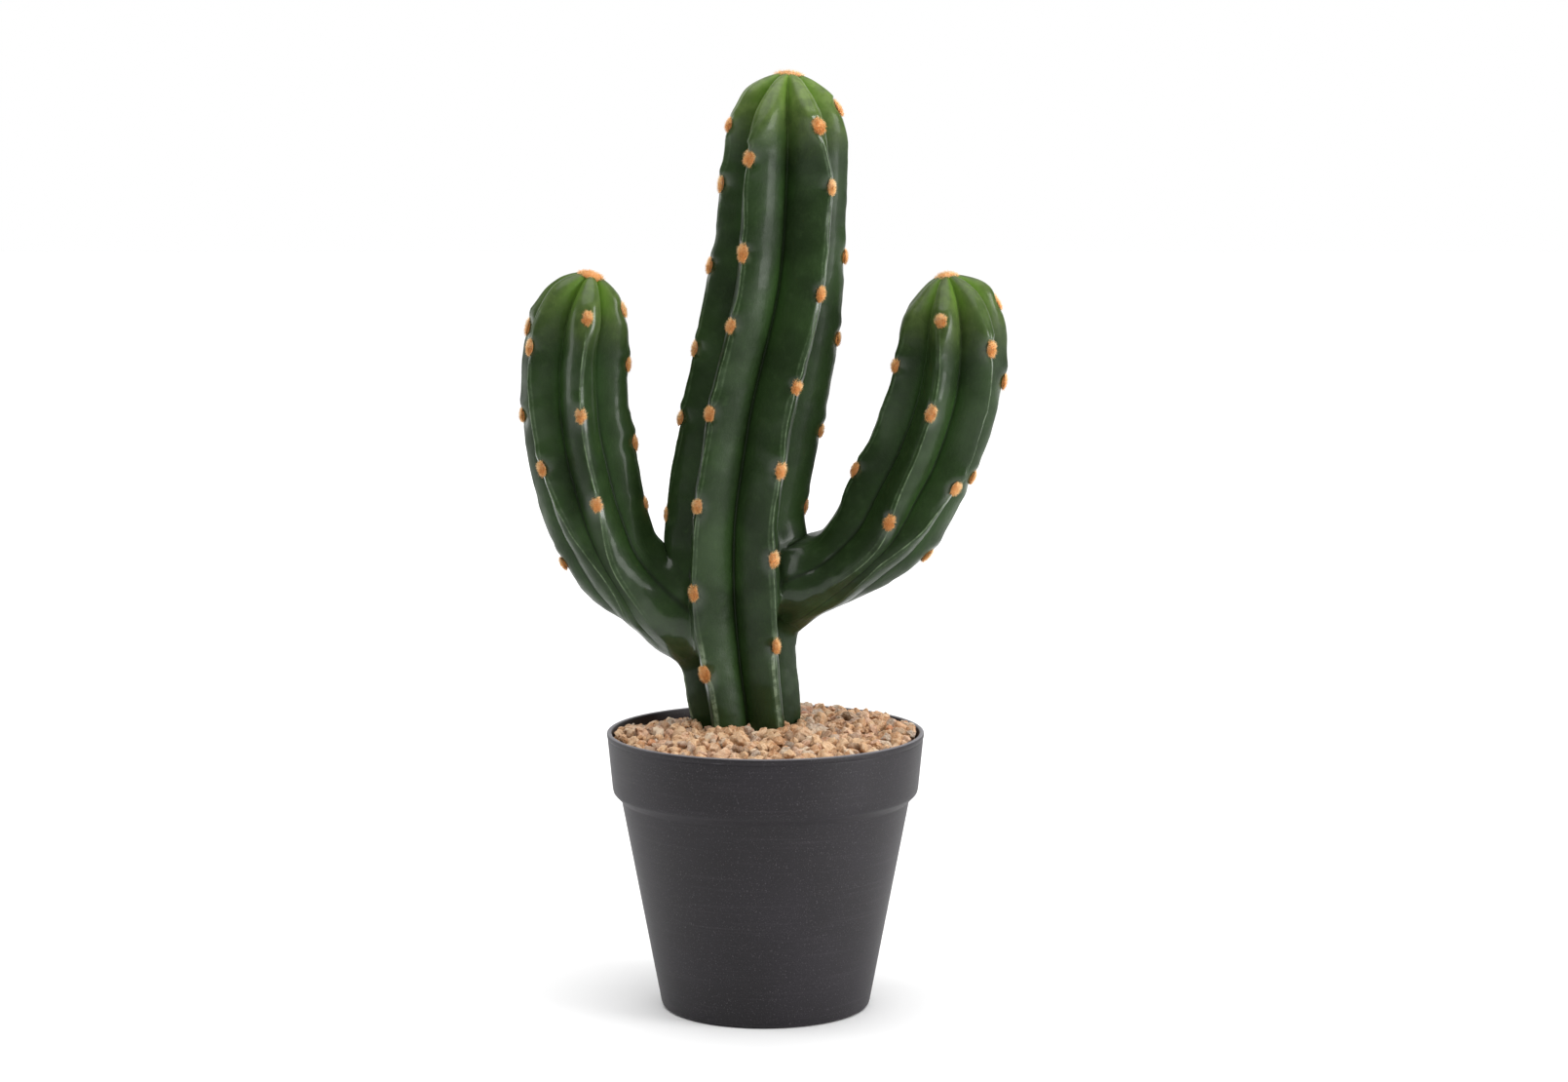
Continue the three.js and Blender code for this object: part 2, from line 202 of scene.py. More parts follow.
# %% A smooth line through given points
def smooth_line(values, share, clamped=False):
    """Passes through evenly spaced values, from the first at share 0 to the last at 1."""
    values = np.asarray(values, float).reshape(len(values), -1)
    place = np.clip(np.atleast_1d(share), 0, 1) * (len(values) - 1)
    before_first = values[0] if clamped else 2 * values[0] - values[1]
    after_last = values[-1] if clamped else 2 * values[-1] - values[-2]
    padded = np.vstack([before_first, values, after_last])
    step = np.minimum(place.astype(int), len(values) - 2)
    part = (place - step)[:, None]
    before, here, following, after = (padded[step + k] for k in range(4))
    leave, arrive = (following - before) / 2, (after - here) / 2
    bend = 3 * (following - here) - 2 * leave - arrive
    twist = 2 * (here - following) + leave + arrive
    return here + leave * part + bend * part**2 + twist * part**3


def opened(distance, length):
    """How far a rounded end of that length has opened at a distance from its pole, from 0 to 1."""
    left = np.clip((length - distance) / length, 0, 1)
    return np.sqrt(1 - left * left)


# %% [markdown]
# A place on a limb is a share of its length, from root to tip, and an angle round it, from the front.
# `Limb` turns such a place into a point, and `locate` goes the other way, from any point to its place.

# %% A limb
USUAL_RIB_ANGLE = math.radians(60)
FURROW_GROWTH = 0.8
FURROW_SHARPNESS = 1.1
CREST_ROUNDING = 0.035
TIP_ROUNDING = 0.22
TIP_FULLNESS = 0.45
TIP_REACH = (12, 28)


class Limb:
    def __init__(self, stations, root, dome, furrow, ribs, tufts, tufts_between):
        self.centres = [station[:3] for station in stations]
        self.radii = [station[3] for station in stations]
        self.root, self.dome, self.furrow, self.ribs = root, dome, furrow, ribs
        self.tufts, self.tufts_between = tufts, tufts_between
        self.steps = np.linspace(0, 1, 201)
        spans = np.diff(smooth_line(self.centres, self.steps), axis=0)
        self.travel = np.concatenate([[0], np.cumsum(np.linalg.norm(spans, axis=1))])
        self.length = self.travel[-1]

    def on_line(self, share):
        return np.interp(np.atleast_1d(share) * self.length, self.travel, self.steps)

    def axes(self, share):
        """The centre, and the directions along, to the front and to the side."""
        step = self.on_line(share)
        ahead = smooth_line(self.centres, step + 1e-4) - smooth_line(self.centres, step - 1e-4)
        along = ahead / np.linalg.norm(ahead, axis=1, keepdims=True)
        front = np.array([0, -1, 0]) + along * along[:, 1:2]
        front /= np.linalg.norm(front, axis=1, keepdims=True)
        return smooth_line(self.centres, step), along, front, np.cross(along, front)

    def girth(self, share):
        """Radius of the rib crests."""
        share = np.atleast_1d(share)
        radius = smooth_line(self.radii, self.on_line(share))[:, 0]
        at_tip = opened((1 - share) * self.length, self.dome)
        return radius * at_tip * opened(share * self.length, self.root)

    def crests(self, share):
        """Angle of each rib's crest, and of the first one again a turn further on."""
        angles = np.radians(smooth_line(np.array(self.ribs).T, share, clamped=True))
        return np.hstack([angles, angles[:, :1] + 2 * math.pi])

    def on_rib(self, share, angle):
        """The rib before an angle, the part of the way to the next rib, and the angle between the two."""
        crests = self.crests(share)
        angle = (angle - crests[:, 0]) % (2 * math.pi) + crests[:, 0]
        rib = (angle[:, None] >= crests[:, 1:]).sum(axis=1).clip(0, len(self.ribs) - 1)
        start = np.take_along_axis(crests, rib[:, None], axis=1)[:, 0]
        span = np.take_along_axis(crests, rib[:, None] + 1, axis=1)[:, 0] - start
        return rib, (angle - start) / span, span

    def fall(self, share, part, span):
        """How far the skin falls back from the crests, as a share of the girth."""
        fold = 1 - np.abs(2 * part - 1)
        near_tip = 1 - ramp((1 - share) * self.length, *TIP_REACH)
        soft = CREST_ROUNDING + TIP_ROUNDING * near_tip
        rounded = (np.sqrt(fold**2 + soft**2) - soft) / (np.sqrt(1 + soft**2) - soft)
        depth = smooth_line(self.furrow, share, clamped=True)[:, 0]
        depth *= (span / USUAL_RIB_ANGLE) ** FURROW_GROWTH
        return depth * rounded ** (FURROW_SHARPNESS + TIP_FULLNESS * near_tip)

    def reach(self, share, part, span):
        """Radius of the skin."""
        return self.girth(share) * (1 - self.fall(share, part, span))

    def nearest_crest(self, share, rib, part, span):
        """The rib whose crest is nearest, and how far beside it a place lies."""
        beside = np.where(part > 0.5, part - 1, part) * span * self.girth(share)
        return (rib + (part > 0.5)) % len(self.ribs), beside

    def point(self, share, angle, radius):
        centre, _, front, side = self.axes(share)
        return centre + radius[:, None] * (np.cos(angle)[:, None] * front + np.sin(angle)[:, None] * side)

    def locate(self, points):
        """The share of the length, the angle and the distance from the centre line of any points."""
        shares = np.linspace(0, 1, 300)
        centres, along, _, _ = self.axes(shares)
        nearest = np.concatenate([
            ((some[:, None, :] - centres[None]) ** 2).sum(axis=2).argmin(axis=1)
            for some in np.array_split(points, max(1, len(points) // 8000))
        ])
        onward = ((points - centres[nearest]) * along[nearest]).sum(axis=1) / self.length
        share = np.clip(shares[nearest] + onward, 0, 1)
        centre, _, front, side = self.axes(share)
        offset = points - centre
        angle = np.arctan2((offset * side).sum(axis=1), (offset * front).sum(axis=1))
        return share, angle, np.linalg.norm(offset, axis=1)


trunk, left_arm, right_arm = (Limb(**shape) for shape in (TRUNK, LEFT_ARM, RIGHT_ARM))
limbs = {"trunk": trunk, "left_arm": left_arm, "right_arm": right_arm}
for name, limb in limbs.items():
    print(name, "is", round(limb.length), "mm long")

# %% [markdown]
# ## Where the tufts stand
# The front tufts have measured places. Those of the rear ribs follow the seeded rule of the solids, in
# the same order, so each fine tuft lands on its solid one.

# %% Tuft places
TUFT_STEP = 31
TUFT_DRAWS = 8


def make_random(seed):
    """The same draws each time, between 0 and 1."""
    state = seed
    while True:
        state = (state * 1664525 + 1013904223) % 4294967296
        yield state / 4294967296


def tuft_places(limb, draws):
    """A list of (rib, distance from the tip, size) for a limb."""
    places = []
    for rib, listed in enumerate(limb.tufts):
        distances = list(listed or [])
        if not listed:
            start, end = limb.tufts_between
            distance = start + TUFT_STEP * 0.5 * (rib % 2)
            while distance < end:
                distances.append(distance)
                distance += TUFT_STEP * (0.9 + 0.2 * next(draws))
        for distance in distances:
            size = 0.85 + 0.3 * next(draws)
            places.append((rib, distance, size))
            for _ in range(TUFT_DRAWS):
                next(draws)
    for _ in range(TUFT_DRAWS):
        next(draws)
    return places


draws = make_random(7)
places = {name: tuft_places(limb, draws) for name, limb in limbs.items()}
print("tufts on the ribs:", {name: len(found) for name, found in places.items()})

# %% [markdown]
# ## The skin's relief
# A moulded limb isn't just ribs. Each crest has a fine raised seam where the mould closed, a swelling
# above each areole and a dip under it, and stretches where it is pressed flat. Some ribs end in a lip or
# a lump at the tip. All of this shows in the outline, so it is added to the radius of the skin, and only
# the finest grain is left to the material's bump.

# %% Relief, in millimetres out from the skin
WAVES = ((13, 0, 0.4), (4.5, 40, 0.2))
SWELLING = 0.85
DIP = 0.55
SEAM_HEIGHT = 0.2
SEAM_WIDTH = 0.28
STRIP_WIDTH = 1.7
FACET = 0.5
# The reach, from the tip, where the trunk's second rib widens into a flat strip at its foot; the shader
# paints a highlight on that strip.
FOOT_STRIP_REACH = (206, 216)
LIPS = {("trunk", 1): (27.5, 1.7), ("trunk", 3): (9, 0.9), ("left_arm", 0): (20, 0.7)}
LUMPS = {("trunk", 0): 2.0, ("trunk", 3): -0.8, ("left_arm", 1): 0.9, ("right_arm", 3): 0.9}
SEAM_START = (16, 26)


def seam_place(limb_number, rib, from_tip):
    """How far the seam strays sideways from the crest, in millimetres."""
    return 0.7 * np.sin(from_tip / 13 + 2.1 * rib + limb_number) * np.sin(from_tip / 31 + rib)


def flat_width(name, rib, from_tip):
    """Width of the flat strip beside the seam, which pinches out at each tuft."""
    away = np.full(len(from_tip), np.inf)
    for tuft_rib, distance, _ in places[name]:
        away = np.where(rib == tuft_rib, np.minimum(away, np.abs(from_tip - distance)), away)
    side = np.where((rib * 2 + list(limbs).index(name)) % 3 == 1, -1, 1)
    at_foot = np.where((rib == 2) & (name == "trunk"), ramp(from_tip, *FOOT_STRIP_REACH), 0)
    width = 0.85 + 0.15 * np.sin(from_tip / 17 + rib) + 0.6 * at_foot
    return side * STRIP_WIDTH * ramp(away, 1.5, 5) * width


def relief(name, limb, share, rib, part, span, points):
    limb_number = list(limbs).index(name)
    from_tip = (1 - share) * limb.length
    nearest_rib, beside = limb.nearest_crest(share, rib, part, span)
    out = sum(height * ripple(points + shift, size) for size, shift, height in WAVES)
    for tuft_rib, distance, size in places[name]:
        mine = nearest_rib == tuft_rib
        swelling = SWELLING * bell(from_tip - distance + 4.5, 3.2) * bell(beside, 4.5)
        dip = DIP * bell(from_tip - distance, 3) * bell(beside, 3.6)
        out += np.where(mine, size * (swelling - dip), 0)
    for (lip_limb, lip_rib), (distance, height) in LIPS.items():
        if lip_limb == name:
            over = ramp(-from_tip, -distance, -distance + 1.4) * ramp(from_tip, distance - 22, distance - 2)
            out += np.where(nearest_rib == lip_rib, height * over * bell(beside, 5), 0)
    for (lump_limb, lump_rib), height in LUMPS.items():
        if lump_limb == name:
            out += np.where(nearest_rib == lump_rib, height * bell(from_tip - 6, 5.5) * bell(beside, 7), 0)
    stretch = np.stack([from_tip / 19, nearest_rib * 3.7, 0 * share + limb_number], axis=1)
    pressed = ramp(ripple(stretch, 1), 0.05, 0.3)
    if name == "trunk":
        under_tip = ramp(from_tip, 17, 22) * ramp(-from_tip, -44, -38)
        flattened = np.maximum(under_tip, 1.4 * ramp(from_tip, 205, 214))
        pressed = np.where(nearest_rib == 2, np.maximum(pressed, flattened), pressed)
    out -= FACET * pressed * bell(beside, 1.5)
    off_seam = beside - seam_place(limb_number, nearest_rib, from_tip)
    strip = flat_width(name, nearest_rib, from_tip)
    second = 0.3 * bell(off_seam - strip, SEAM_WIDTH) * np.minimum(1, np.abs(strip))
    seam = bell(off_seam, SEAM_WIDTH) + second
    seam *= ramp(from_tip, *SEAM_START) * ramp(share * limb.length, 26, 46)
    return out + SEAM_HEIGHT * seam


# %% [markdown]
# The skin of a limb is a grid: rows along it, a little over a millimetre apart and closing up over the
# dome, and columns round it, crowded at each crest where the seam is. Its quads follow the ribs.

# %% Skin of one limb
ROW_STEP = 1.25
DOME_ROWS = 24
CREST_PARTS = np.array([0.012, 0.026, 0.043, 0.068, 0.105, 0.155, 0.22, 0.295, 0.37, 0.435, 0.475])
PARTS = np.concatenate([[0], CREST_PARTS, [0.5], 1 - CREST_PARTS[::-1]])


def limb_skin(name, limb):
    dome_start = 1 - limb.dome / limb.length
    body = np.linspace(0, dome_start, round(dome_start * limb.length / ROW_STEP))[1:]
    dome = dome_start + (1 - dome_start) * np.sin(np.linspace(0, math.pi / 2, DOME_ROWS + 1))[1:-1]
    rows = np.concatenate([body, dome])
    crests = limb.crests(rows)
    angles = np.concatenate([
        crests[:, k:k + 1] + (crests[:, k + 1:k + 2] - crests[:, k:k + 1]) * PARTS
        for k in range(len(limb.ribs))
    ], axis=1)
    columns = angles.shape[1]
    share, angle = np.repeat(rows, columns), angles.ravel()
    rib = np.tile(np.repeat(np.arange(len(limb.ribs)), len(PARTS)), len(rows))
    part = np.tile(np.tile(PARTS, len(limb.ribs)), len(rows))
    span = np.diff(crests, axis=1)[np.repeat(np.arange(len(rows)), columns), rib]
    radius = limb.reach(share, part, span)
    points = limb.point(share, angle, radius)
    radius += relief(name, limb, share, rib, part, span, points)
    points = limb.point(share, angle, radius)
    poles = np.vstack([limb.axes(1)[0], limb.axes(0)[0]])
    return make_object(name, np.vstack([points, poles]), closed_grid(len(rows), columns))


skins = {name: limb_skin(name, limb) for name, limb in limbs.items()}
for name, piece in skins.items():
    print(name, "has", triangles(piece), "triangles")

# %% [markdown]
# ## One body
# The plant was moulded in one piece, so the three limbs are joined by a Boolean union. Its MANIFOLD
# solver is quick and keeps the grids untouched away from the joins.

# %% Join the limbs
saguaro = skins["trunk"]
saguaro.name = "saguaro_skin"
combine(saguaro, [skins["left_arm"], skins["right_arm"]], "UNION")
print("the joined skin has", triangles(saguaro), "triangles")

# %% [markdown]
# Where an arm leaves the trunk, the flesh swells into a soft web, and a bare union leaves a hard
# crease there. A bevel can't follow such a crease. Instead each point near it is moved out to where a
# blend of the two limbs' distances is zero, and then evened out with its neighbours. The web's reach is
# wider on the right arm.

# %% Soften the joins
WEB_REACH = np.array([0, 10, 12])
ROOT_LENGTH, ROOT_FADE = 14, 0.6
FLANK_SLOPE = 0.8
FILL_STEPS, EVENING_STEPS = 6, 50


def distance_to(limb, points):
    """About how far points lie outside a limb's ribbed skin, in millimetres."""
    share, angle, radius = limb.locate(points)
    _, part, span = limb.on_rib(share, angle)
    outside = FLANK_SLOPE * (radius - limb.reach(share, part, span))
    buried = 0 if limb is trunk else np.maximum(ROOT_LENGTH - share * limb.length, 0)
    return outside + ROOT_FADE * buried


def closeness(distances):
    """1 where two limbs are equally near, falling to 0 at the web's reach. Also the nearest distance and
    the reach."""
    order = np.argsort(distances, axis=0)
    nearest = np.take_along_axis(distances, order, axis=0)
    reach = WEB_REACH[order[0]] + WEB_REACH[order[1]]
    return np.clip(1 - (nearest[1] - nearest[0]) / reach, 0, 1), nearest[0], reach


def point_normals(mesh):
    flat = np.empty(len(mesh.vertices) * 3, np.float32)
    mesh.vertex_normals.foreach_get("vector", flat)
    return flat.reshape(-1, 3).astype(float)


def move_points(mesh, points):
    mesh.vertices.foreach_set("co", (points * MM).astype(np.float32).ravel())
    mesh.update()


def smoothed(values, edges, count, times):
    """Values averaged with their neighbours along the edges."""
    for _ in range(times):
        total = np.zeros((count, values.shape[1]))
        share = np.zeros(count)
        for a, b in (edges.T, edges.T[::-1]):
            for k in range(values.shape[1]):
                total[:, k] += np.bincount(a, values[b, k], count)
            share += np.bincount(a, minlength=count)
        values = total / np.maximum(share, 1)[:, None]
    return values


points = positions(saguaro)
edges = np.empty(len(saguaro.data.edges) * 2, np.int32)
saguaro.data.edges.foreach_get("vertices", edges)
edges = edges.reshape(-1, 2)
near, _, _ = closeness(np.array([distance_to(limb, points) for limb in limbs.values()]))
web = np.flatnonzero(near > 0)
for _ in range(FILL_STEPS):
    distances = np.array([distance_to(limb, points[web]) for limb in limbs.values()])
    close, lowest, reach = closeness(distances)
    blended = np.maximum(lowest, -0.5) - close**2 * reach / 4
    normals = smoothed(point_normals(saguaro.data), edges, len(points), 3)[web]
    normals /= np.maximum(np.linalg.norm(normals, axis=1, keepdims=True), 1e-6)
    points[web] -= 0.8 * np.minimum(blended, 0)[:, None] * normals
    move_points(saguaro.data, points)
softness = np.zeros(len(points))
softness[web] = near[web]
for _ in range(EVENING_STEPS):
    points += 0.6 * softness[:, None] * (smoothed(points, edges, len(points), 1) - points)
move_points(saguaro.data, points)
print("points in the webs:", len(web))

# %% [markdown]
# The finish follows the ribs: pale seams on the crests, light green in the furrows near the tips,
# wet-looking glue by the tufts. So each point keeps its place on its limb as attributes.

# %% Values for the skin's finish
ROOT_REACH = (24, 50)

distances = np.array([distance_to(limb, points) for limb in limbs.values()])
owner = np.abs(distances).argmin(axis=0)
from_tip, fold, beside, seam_at, strip, glue, arm = (np.zeros(len(points)) for _ in range(7))
for number, (name, limb) in enumerate(limbs.items()):
    mine = np.flatnonzero(owner == number)
    share, angle, _ = limb.locate(points[mine])
    rib, part, span = limb.on_rib(share, angle)
    nearest_rib, beside[mine] = limb.nearest_crest(share, rib, part, span)
    from_tip[mine] = (1 - share) * limb.length
    fold[mine] = 1 - np.abs(2 * part - 1)
    seam_at[mine] = seam_place(number, nearest_rib, from_tip[mine])
    strip[mine] = flat_width(name, nearest_rib, from_tip[mine])
    arm[mine] = number
    if number > 0:
        softness[mine] = np.maximum(softness[mine], 1 - ramp(share * limb.length, *ROOT_REACH))
    for tuft_rib, distance, size in places[name]:
        spread = bell(from_tip[mine] - distance - 1, 6.5) * bell(beside[mine], 4.5)
        glue[mine] = np.maximum(glue[mine], np.where(nearest_rib == tuft_rib, size * spread, 0))
keep_values(saguaro, from_tip=from_tip, fold=fold, beside=beside - seam_at, strip=strip, glue=glue, arm=arm,
            web=softness)

# %% [markdown]
# The flesh is pinched and creased at the roots of the arms. The creases are ridges of soft noise,
# pressed low so that they run more across the plant than up it.

# %% Crease the roots
CREASE_SIZE, CREASE_HEIGHT, CREASE_EVENING = 14, 1.6, 14

rooted = np.flatnonzero(softness > 0)
ridges = (1 - np.abs(ripple(points[rooted] * (1, 1, 1.6), CREASE_SIZE))) ** 3
lift = np.zeros((len(points), 1))
lift[rooted, 0] = CREASE_HEIGHT * ramp(softness[rooted], 0.1, 0.8) * (ridges - 0.5)
points += smoothed(lift, edges, len(points), CREASE_EVENING) * point_normals(saguaro.data)
move_points(saguaro.data, points)

# %% [markdown]
# ## Writing shaders as sums
# A shader is a web of nodes, and most of them only add, multiply and mix. `Wire` wraps a socket so that
# plain Python sums make those nodes. `Sheet` is one material's sheet of nodes, with one method that
# makes any other node.

# %% A small language for shaders
class Wire:
    def __init__(self, sheet, socket):
        self.sheet, self.socket = sheet, socket

    def sum_node(self, operation, first, second):
        kind = "ShaderNodeVectorMath" if self.socket.type == "VECTOR" else "ShaderNodeMath"
        return self.sheet.node(kind, {"operation": operation}, {0: first, 1: second})

    def __add__(self, other):
        return self.sum_node("ADD", self, other)

    def __sub__(self, other):
        return self.sum_node("SUBTRACT", self, other)

    def __rsub__(self, other):
        return self.sum_node("SUBTRACT", other, self)

    def __mul__(self, other):
        return self.sum_node("MULTIPLY", self, other)

    __radd__ = __add__
    __rmul__ = __mul__

    def size(self):
        """The value without its sign."""
        return self.sheet.node("ShaderNodeMath", {"operation": "ABSOLUTE"}, {0: self})

    def between(self, start, end):
        """0 before start, 1 after end, and smooth between them. End may lie before start."""
        settings = {"interpolation_type": "SMOOTHSTEP"}
        if start < end:
            return self.sheet.node("ShaderNodeMapRange", settings, {0: self, 1: start, 2: end})
        return 1 - self.sheet.node("ShaderNodeMapRange", settings, {0: self, 1: end, 2: start})

    def output(self, name):
        """Another output of the same node."""
        return Wire(self.sheet, self.socket.node.outputs[name])


class Sheet:
    def __init__(self, name):
        self.material = bpy.data.materials.new(name)
        self.material.use_nodes = True
        self.nodes = self.material.node_tree.nodes
        self.links = self.material.node_tree.links
        self.nodes.clear()

    def node(self, kind, settings=None, sockets=None):
        """Makes a node: its settings first, then the values or wires of its sockets."""
        made = self.nodes.new(kind)
        for name, value in (settings or {}).items():
            if name == "stops":
                while len(made.color_ramp.elements) < len(value):
                    made.color_ramp.elements.new(1)
                for element, (place, paint) in zip(made.color_ramp.elements, value):
                    element.position, element.color = place, colour(*paint)
            else:
                setattr(made, name, value)
        for name, value in (sockets or {}).items():
            if isinstance(value, Wire):
                self.links.new(value.socket, made.inputs[name])
            else:
                made.inputs[name].default_value = value
        return Wire(self, made.outputs[0]) if made.outputs else None

    def value(self, name):
        """A number kept on the mesh."""
        return self.node("ShaderNodeAttribute", {"attribute_name": name}).output("Fac")

    def place(self):
        """The point of the object, in metres."""
        return self.node("ShaderNodeTexCoord").output("Object")

    def grain(self, place, size, detail=3, roughness=0.5, lean=0):
        """Cloudy noise of about that size in millimetres, from 0 to 1."""
        sockets = {"Vector": place, "Scale": 1 / (size * MM), "Detail": detail, "Roughness": roughness,
                   "Distortion": lean}
        return self.node("ShaderNodeTexNoise", {}, sockets)

    def mix(self, share, first, second):
        """Colours mixed by a share."""
        inputs = {"Factor": share, 6: first, 7: second}
        return self.node("ShaderNodeMix", {"data_type": "RGBA"}, inputs).output(2)

    def bump(self, height, distance, strength):
        """A normal from a height of 0 to 1, which stands for that many millimetres."""
        return self.node("ShaderNodeBump", {}, {
            "Height": height, "Distance": distance * MM, "Strength": strength,
        })

    def painted(self, body, *coats):
        """A colour with coats over it, each a share and a colour."""
        for share, paint in coats:
            body = self.mix(share, body, colour(*paint))
        return body

    def finish(self, **sockets):
        """The surface, from the values or wires of the shader's own sockets."""
        named = {name.replace("_", " "): value for name, value in sockets.items()}
        surface = self.node("ShaderNodeBsdfPrincipled", {}, named)
        self.node("ShaderNodeOutputMaterial", {}, {"Surface": surface})
        return self.material


def colour(red, green, blue):
    """A colour as it looks on a screen, from 0 to 255, as the shader's linear values."""
    def linear(part):
        part /= 255
        return part / 12.92 if part <= 0.04045 else ((part + 0.055) / 1.055) ** 2.4
    return (linear(red), linear(green), linear(blue), 1)


# %% [markdown]
# ## Finish of the skin
# The plastic is dark green and glossy, sprayed a lighter yellow-green at the tips and down some furrows.
# The mould's seams show as thin pale lines where the spray is rubbed off. The bottoms of the furrows are
# painted darker, as painted shade, and a pale strip at the foot of the trunk's second rib is a painted
# highlight. The gloss is broken by a fine pitted grain and, on some flanks, by long wrinkles, which catch
# the light in streaks.

# %% Skin material
def skin_material():
    s = Sheet("cactus_skin")
    place = s.place()
    from_tip, fold, beside = s.value("from_tip"), s.value("fold"), s.value("beside")
    strip, glue, web, arm = s.value("strip"), s.value("glue"), s.value("web"), s.value("arm")
    clouds = s.grain(place, 22, detail=3)
    mottle = s.grain(place, 4, detail=5, roughness=0.6)
    pits = s.grain(place, 0.9, detail=3)

    deep = fold.between(0.6, 1.0) * (1 - from_tip.between(30, 120) * 0.6) * clouds.between(0.3, 0.6)
    # Painted shade: the bottoms of the furrows, away from the tips, are painted dark.
    furrow_painted_shade = fold.between(0.86, 1.0) * from_tip.between(22, 70)
    sprayed = 0.6 + mottle.between(0.35, 0.65) * 0.35
    tip = (1 - (from_tip + clouds * 16 - 8).between(2, 32)) * (1 - arm.between(0.2, 0.8) * 0.45) * sprayed
    bright = (1 - (from_tip + mottle * 12).between(8, 24)) * fold.between(0.35, 0.9)
    scuffs = s.grain(place, 3, detail=4, roughness=0.7).between(0.4, 0.62)
    shown = fold.between(0.3, 0.2) * (0.3 + scuffs * 0.7) * from_tip.between(*SEAM_START) * (1 - web)
    seam = (1 - beside.size().between(0.1, 0.36)) * shown
    second = (1 - (beside - strip).size().between(0.1, 0.5)) * shown * strip.size().between(0.3, 1)
    inside = (beside * strip).between(0, 0.3) * (1 - (beside - strip * 0.5).size().between(0.5, 1.0)) * shown
    # Painted highlight: a pale strip on the flattened facet at the foot of the trunk's second rib, for the
    # light that facet catches.
    foot_painted_highlight = inside * arm.between(0.5, 0.4) * from_tip.between(*FOOT_STRIP_REACH)
    body = s.painted(
        colour(28, 44, 19),
        (clouds.between(0.35, 0.7), (40, 60, 28)),
        (mottle.between(0.5, 0.85) * 0.3, (58, 80, 44)),
        (deep * 0.5, (44, 76, 28)),
        (furrow_painted_shade * 0.75, (16, 26, 11)),
        (tip, (108, 130, 66)),
        (bright * 0.5, (104, 146, 38)),
        (inside * 0.14, (84, 106, 72)),
        (foot_painted_highlight * 0.5, (150, 166, 136)),
        (seam * 0.55, (118, 138, 104)),
        (second * 0.2, (104, 124, 92)),
        (glue.between(0.5, 1.0) * mottle.between(0.35, 0.65) * 0.25, (120, 132, 108)),
    )

    gloss = 0.4 + (mottle - 0.5) * 0.35 + (1 - clouds) * 0.1 - glue.between(0.25, 0.8) * 0.16
    coat = (0.25 + clouds * 0.5).between(0.3, 0.7) * 0.35 * (1 - fold.between(0.3, 0.75) * 0.9)
    coat = coat + glue.between(0.2, 0.7) * 0.5 + web.between(0.3, 0.8) * 0.4
    long_place = s.node("ShaderNodeCombineXYZ", {}, {0: fold * 0.013, 1: from_tip * 0.00018, 2: arm})
    wrinkles = s.grain(long_place, 1.6, detail=4, roughness=0.6)
    height = pits * 0.14 + mottle * 0.8 + wrinkles * (0.25 + web.between(0.1, 0.6) * 0.2)
    return s.finish(
        Base_Color=body, Roughness=gloss, Specular_IOR_Level=0.14, Coat_Weight=coat, Coat_Roughness=0.14,
        Normal=s.bump(height, 0.45, 0.7),
    )


saguaro.data.materials.clear()
saguaro.data.materials.append(skin_material())
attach(saguaro, "root")
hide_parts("saguaro")
print("the skin is dressed")

# %% [markdown]
# ## Tufts of fibre
# Each areole of the real plant bears a cushion of spines, and the imitation has a dense tuft of stiff
# orange fibre there. Blender's hair isn't a mesh and is lost in an export, so each fibre is a thin spike
# with three sides, closed at its root, which is sunk in a small core. They lean in locks, because a slow
# wave turns neighbours the same way.

# %% Fibres of one tuft
FIBRE_COUNT = 1100
FIBRE_LENGTH = (0.6, 1.7)
FIBRE_THICKNESS = 0.075
TUFT_ACROSS = 1.9
TUFT_ALONG = 2.7
LOCK_LEAN, LOCK_WAVE = 0.55, 5.5
STRAY = 0.42


def fibre_points(count, across, along, stand, rng):
    """Spikes over an oval, in the tuft's own directions: across, along and out."""
    reach = np.sqrt(rng.uniform(0, 1, count))
    turn = rng.uniform(0, 2 * math.pi, count)
    flat = np.stack([reach * np.cos(turn), reach * np.sin(turn)], axis=1)
    roots = np.stack([flat[:, 0] * across, flat[:, 1] * along, 0.7 * (1 - reach**2) * stand - 0.45], axis=1)
    heading = np.stack([flat[:, 0] * 1.1, flat[:, 1] * 1.1, 1.0 + 0 * reach], axis=1)
    heading[:, :2] += LOCK_LEAN * np.sin(flat[:, ::-1] * LOCK_WAVE + rng.uniform(0, 6, 2))
    heading += rng.normal(0, STRAY, (count, 3))
    heading[:, 2] = np.maximum(heading[:, 2], 0.12)
    heading /= np.linalg.norm(heading, axis=1, keepdims=True)
    length = rng.uniform(*FIBRE_LENGTH, count) * (0.75 + 0.25 * stand)
    sideways = np.cross(heading, rng.normal(0, 1, (count, 3)))
    sideways /= np.linalg.norm(sideways, axis=1, keepdims=True)
    upward = np.cross(heading, sideways)
    rim = []
    for k in range(3):
        turn = 2 * math.pi * k / 3
        rim.append(roots + FIBRE_THICKNESS * (math.cos(turn) * sideways + math.sin(turn) * upward))
    return np.stack([*rim, roots + length[:, None] * heading], axis=1)


def fibre_faces(count):
    first = 4 * np.arange(count)[:, None]
    return np.concatenate([first + side for side in ([0, 1, 3], [1, 2, 3], [2, 0, 3], [2, 1, 0])])


# %% [markdown]
# A tuft stands square to the crest it grows from. Its directions come from the skin a little way up and
# down the same rib, and the crown tufts stand on the tips of the limbs, where they are broad and low.

# %% Tufts of a limb
CROWN_SPREAD = {"trunk": (5.2, 4.0), "left_arm": (4.6, 3.6), "right_arm": (3.9, 3.4)}
CROWN_SUNK, CROWN_STAND = 0.8, 1.9


def crest_point(limb, rib, from_tip):
    share = np.array([1 - from_tip / limb.length])
    angle = limb.crests(share)[:, rib]
    return limb.point(share, angle, limb.girth(share))[0]


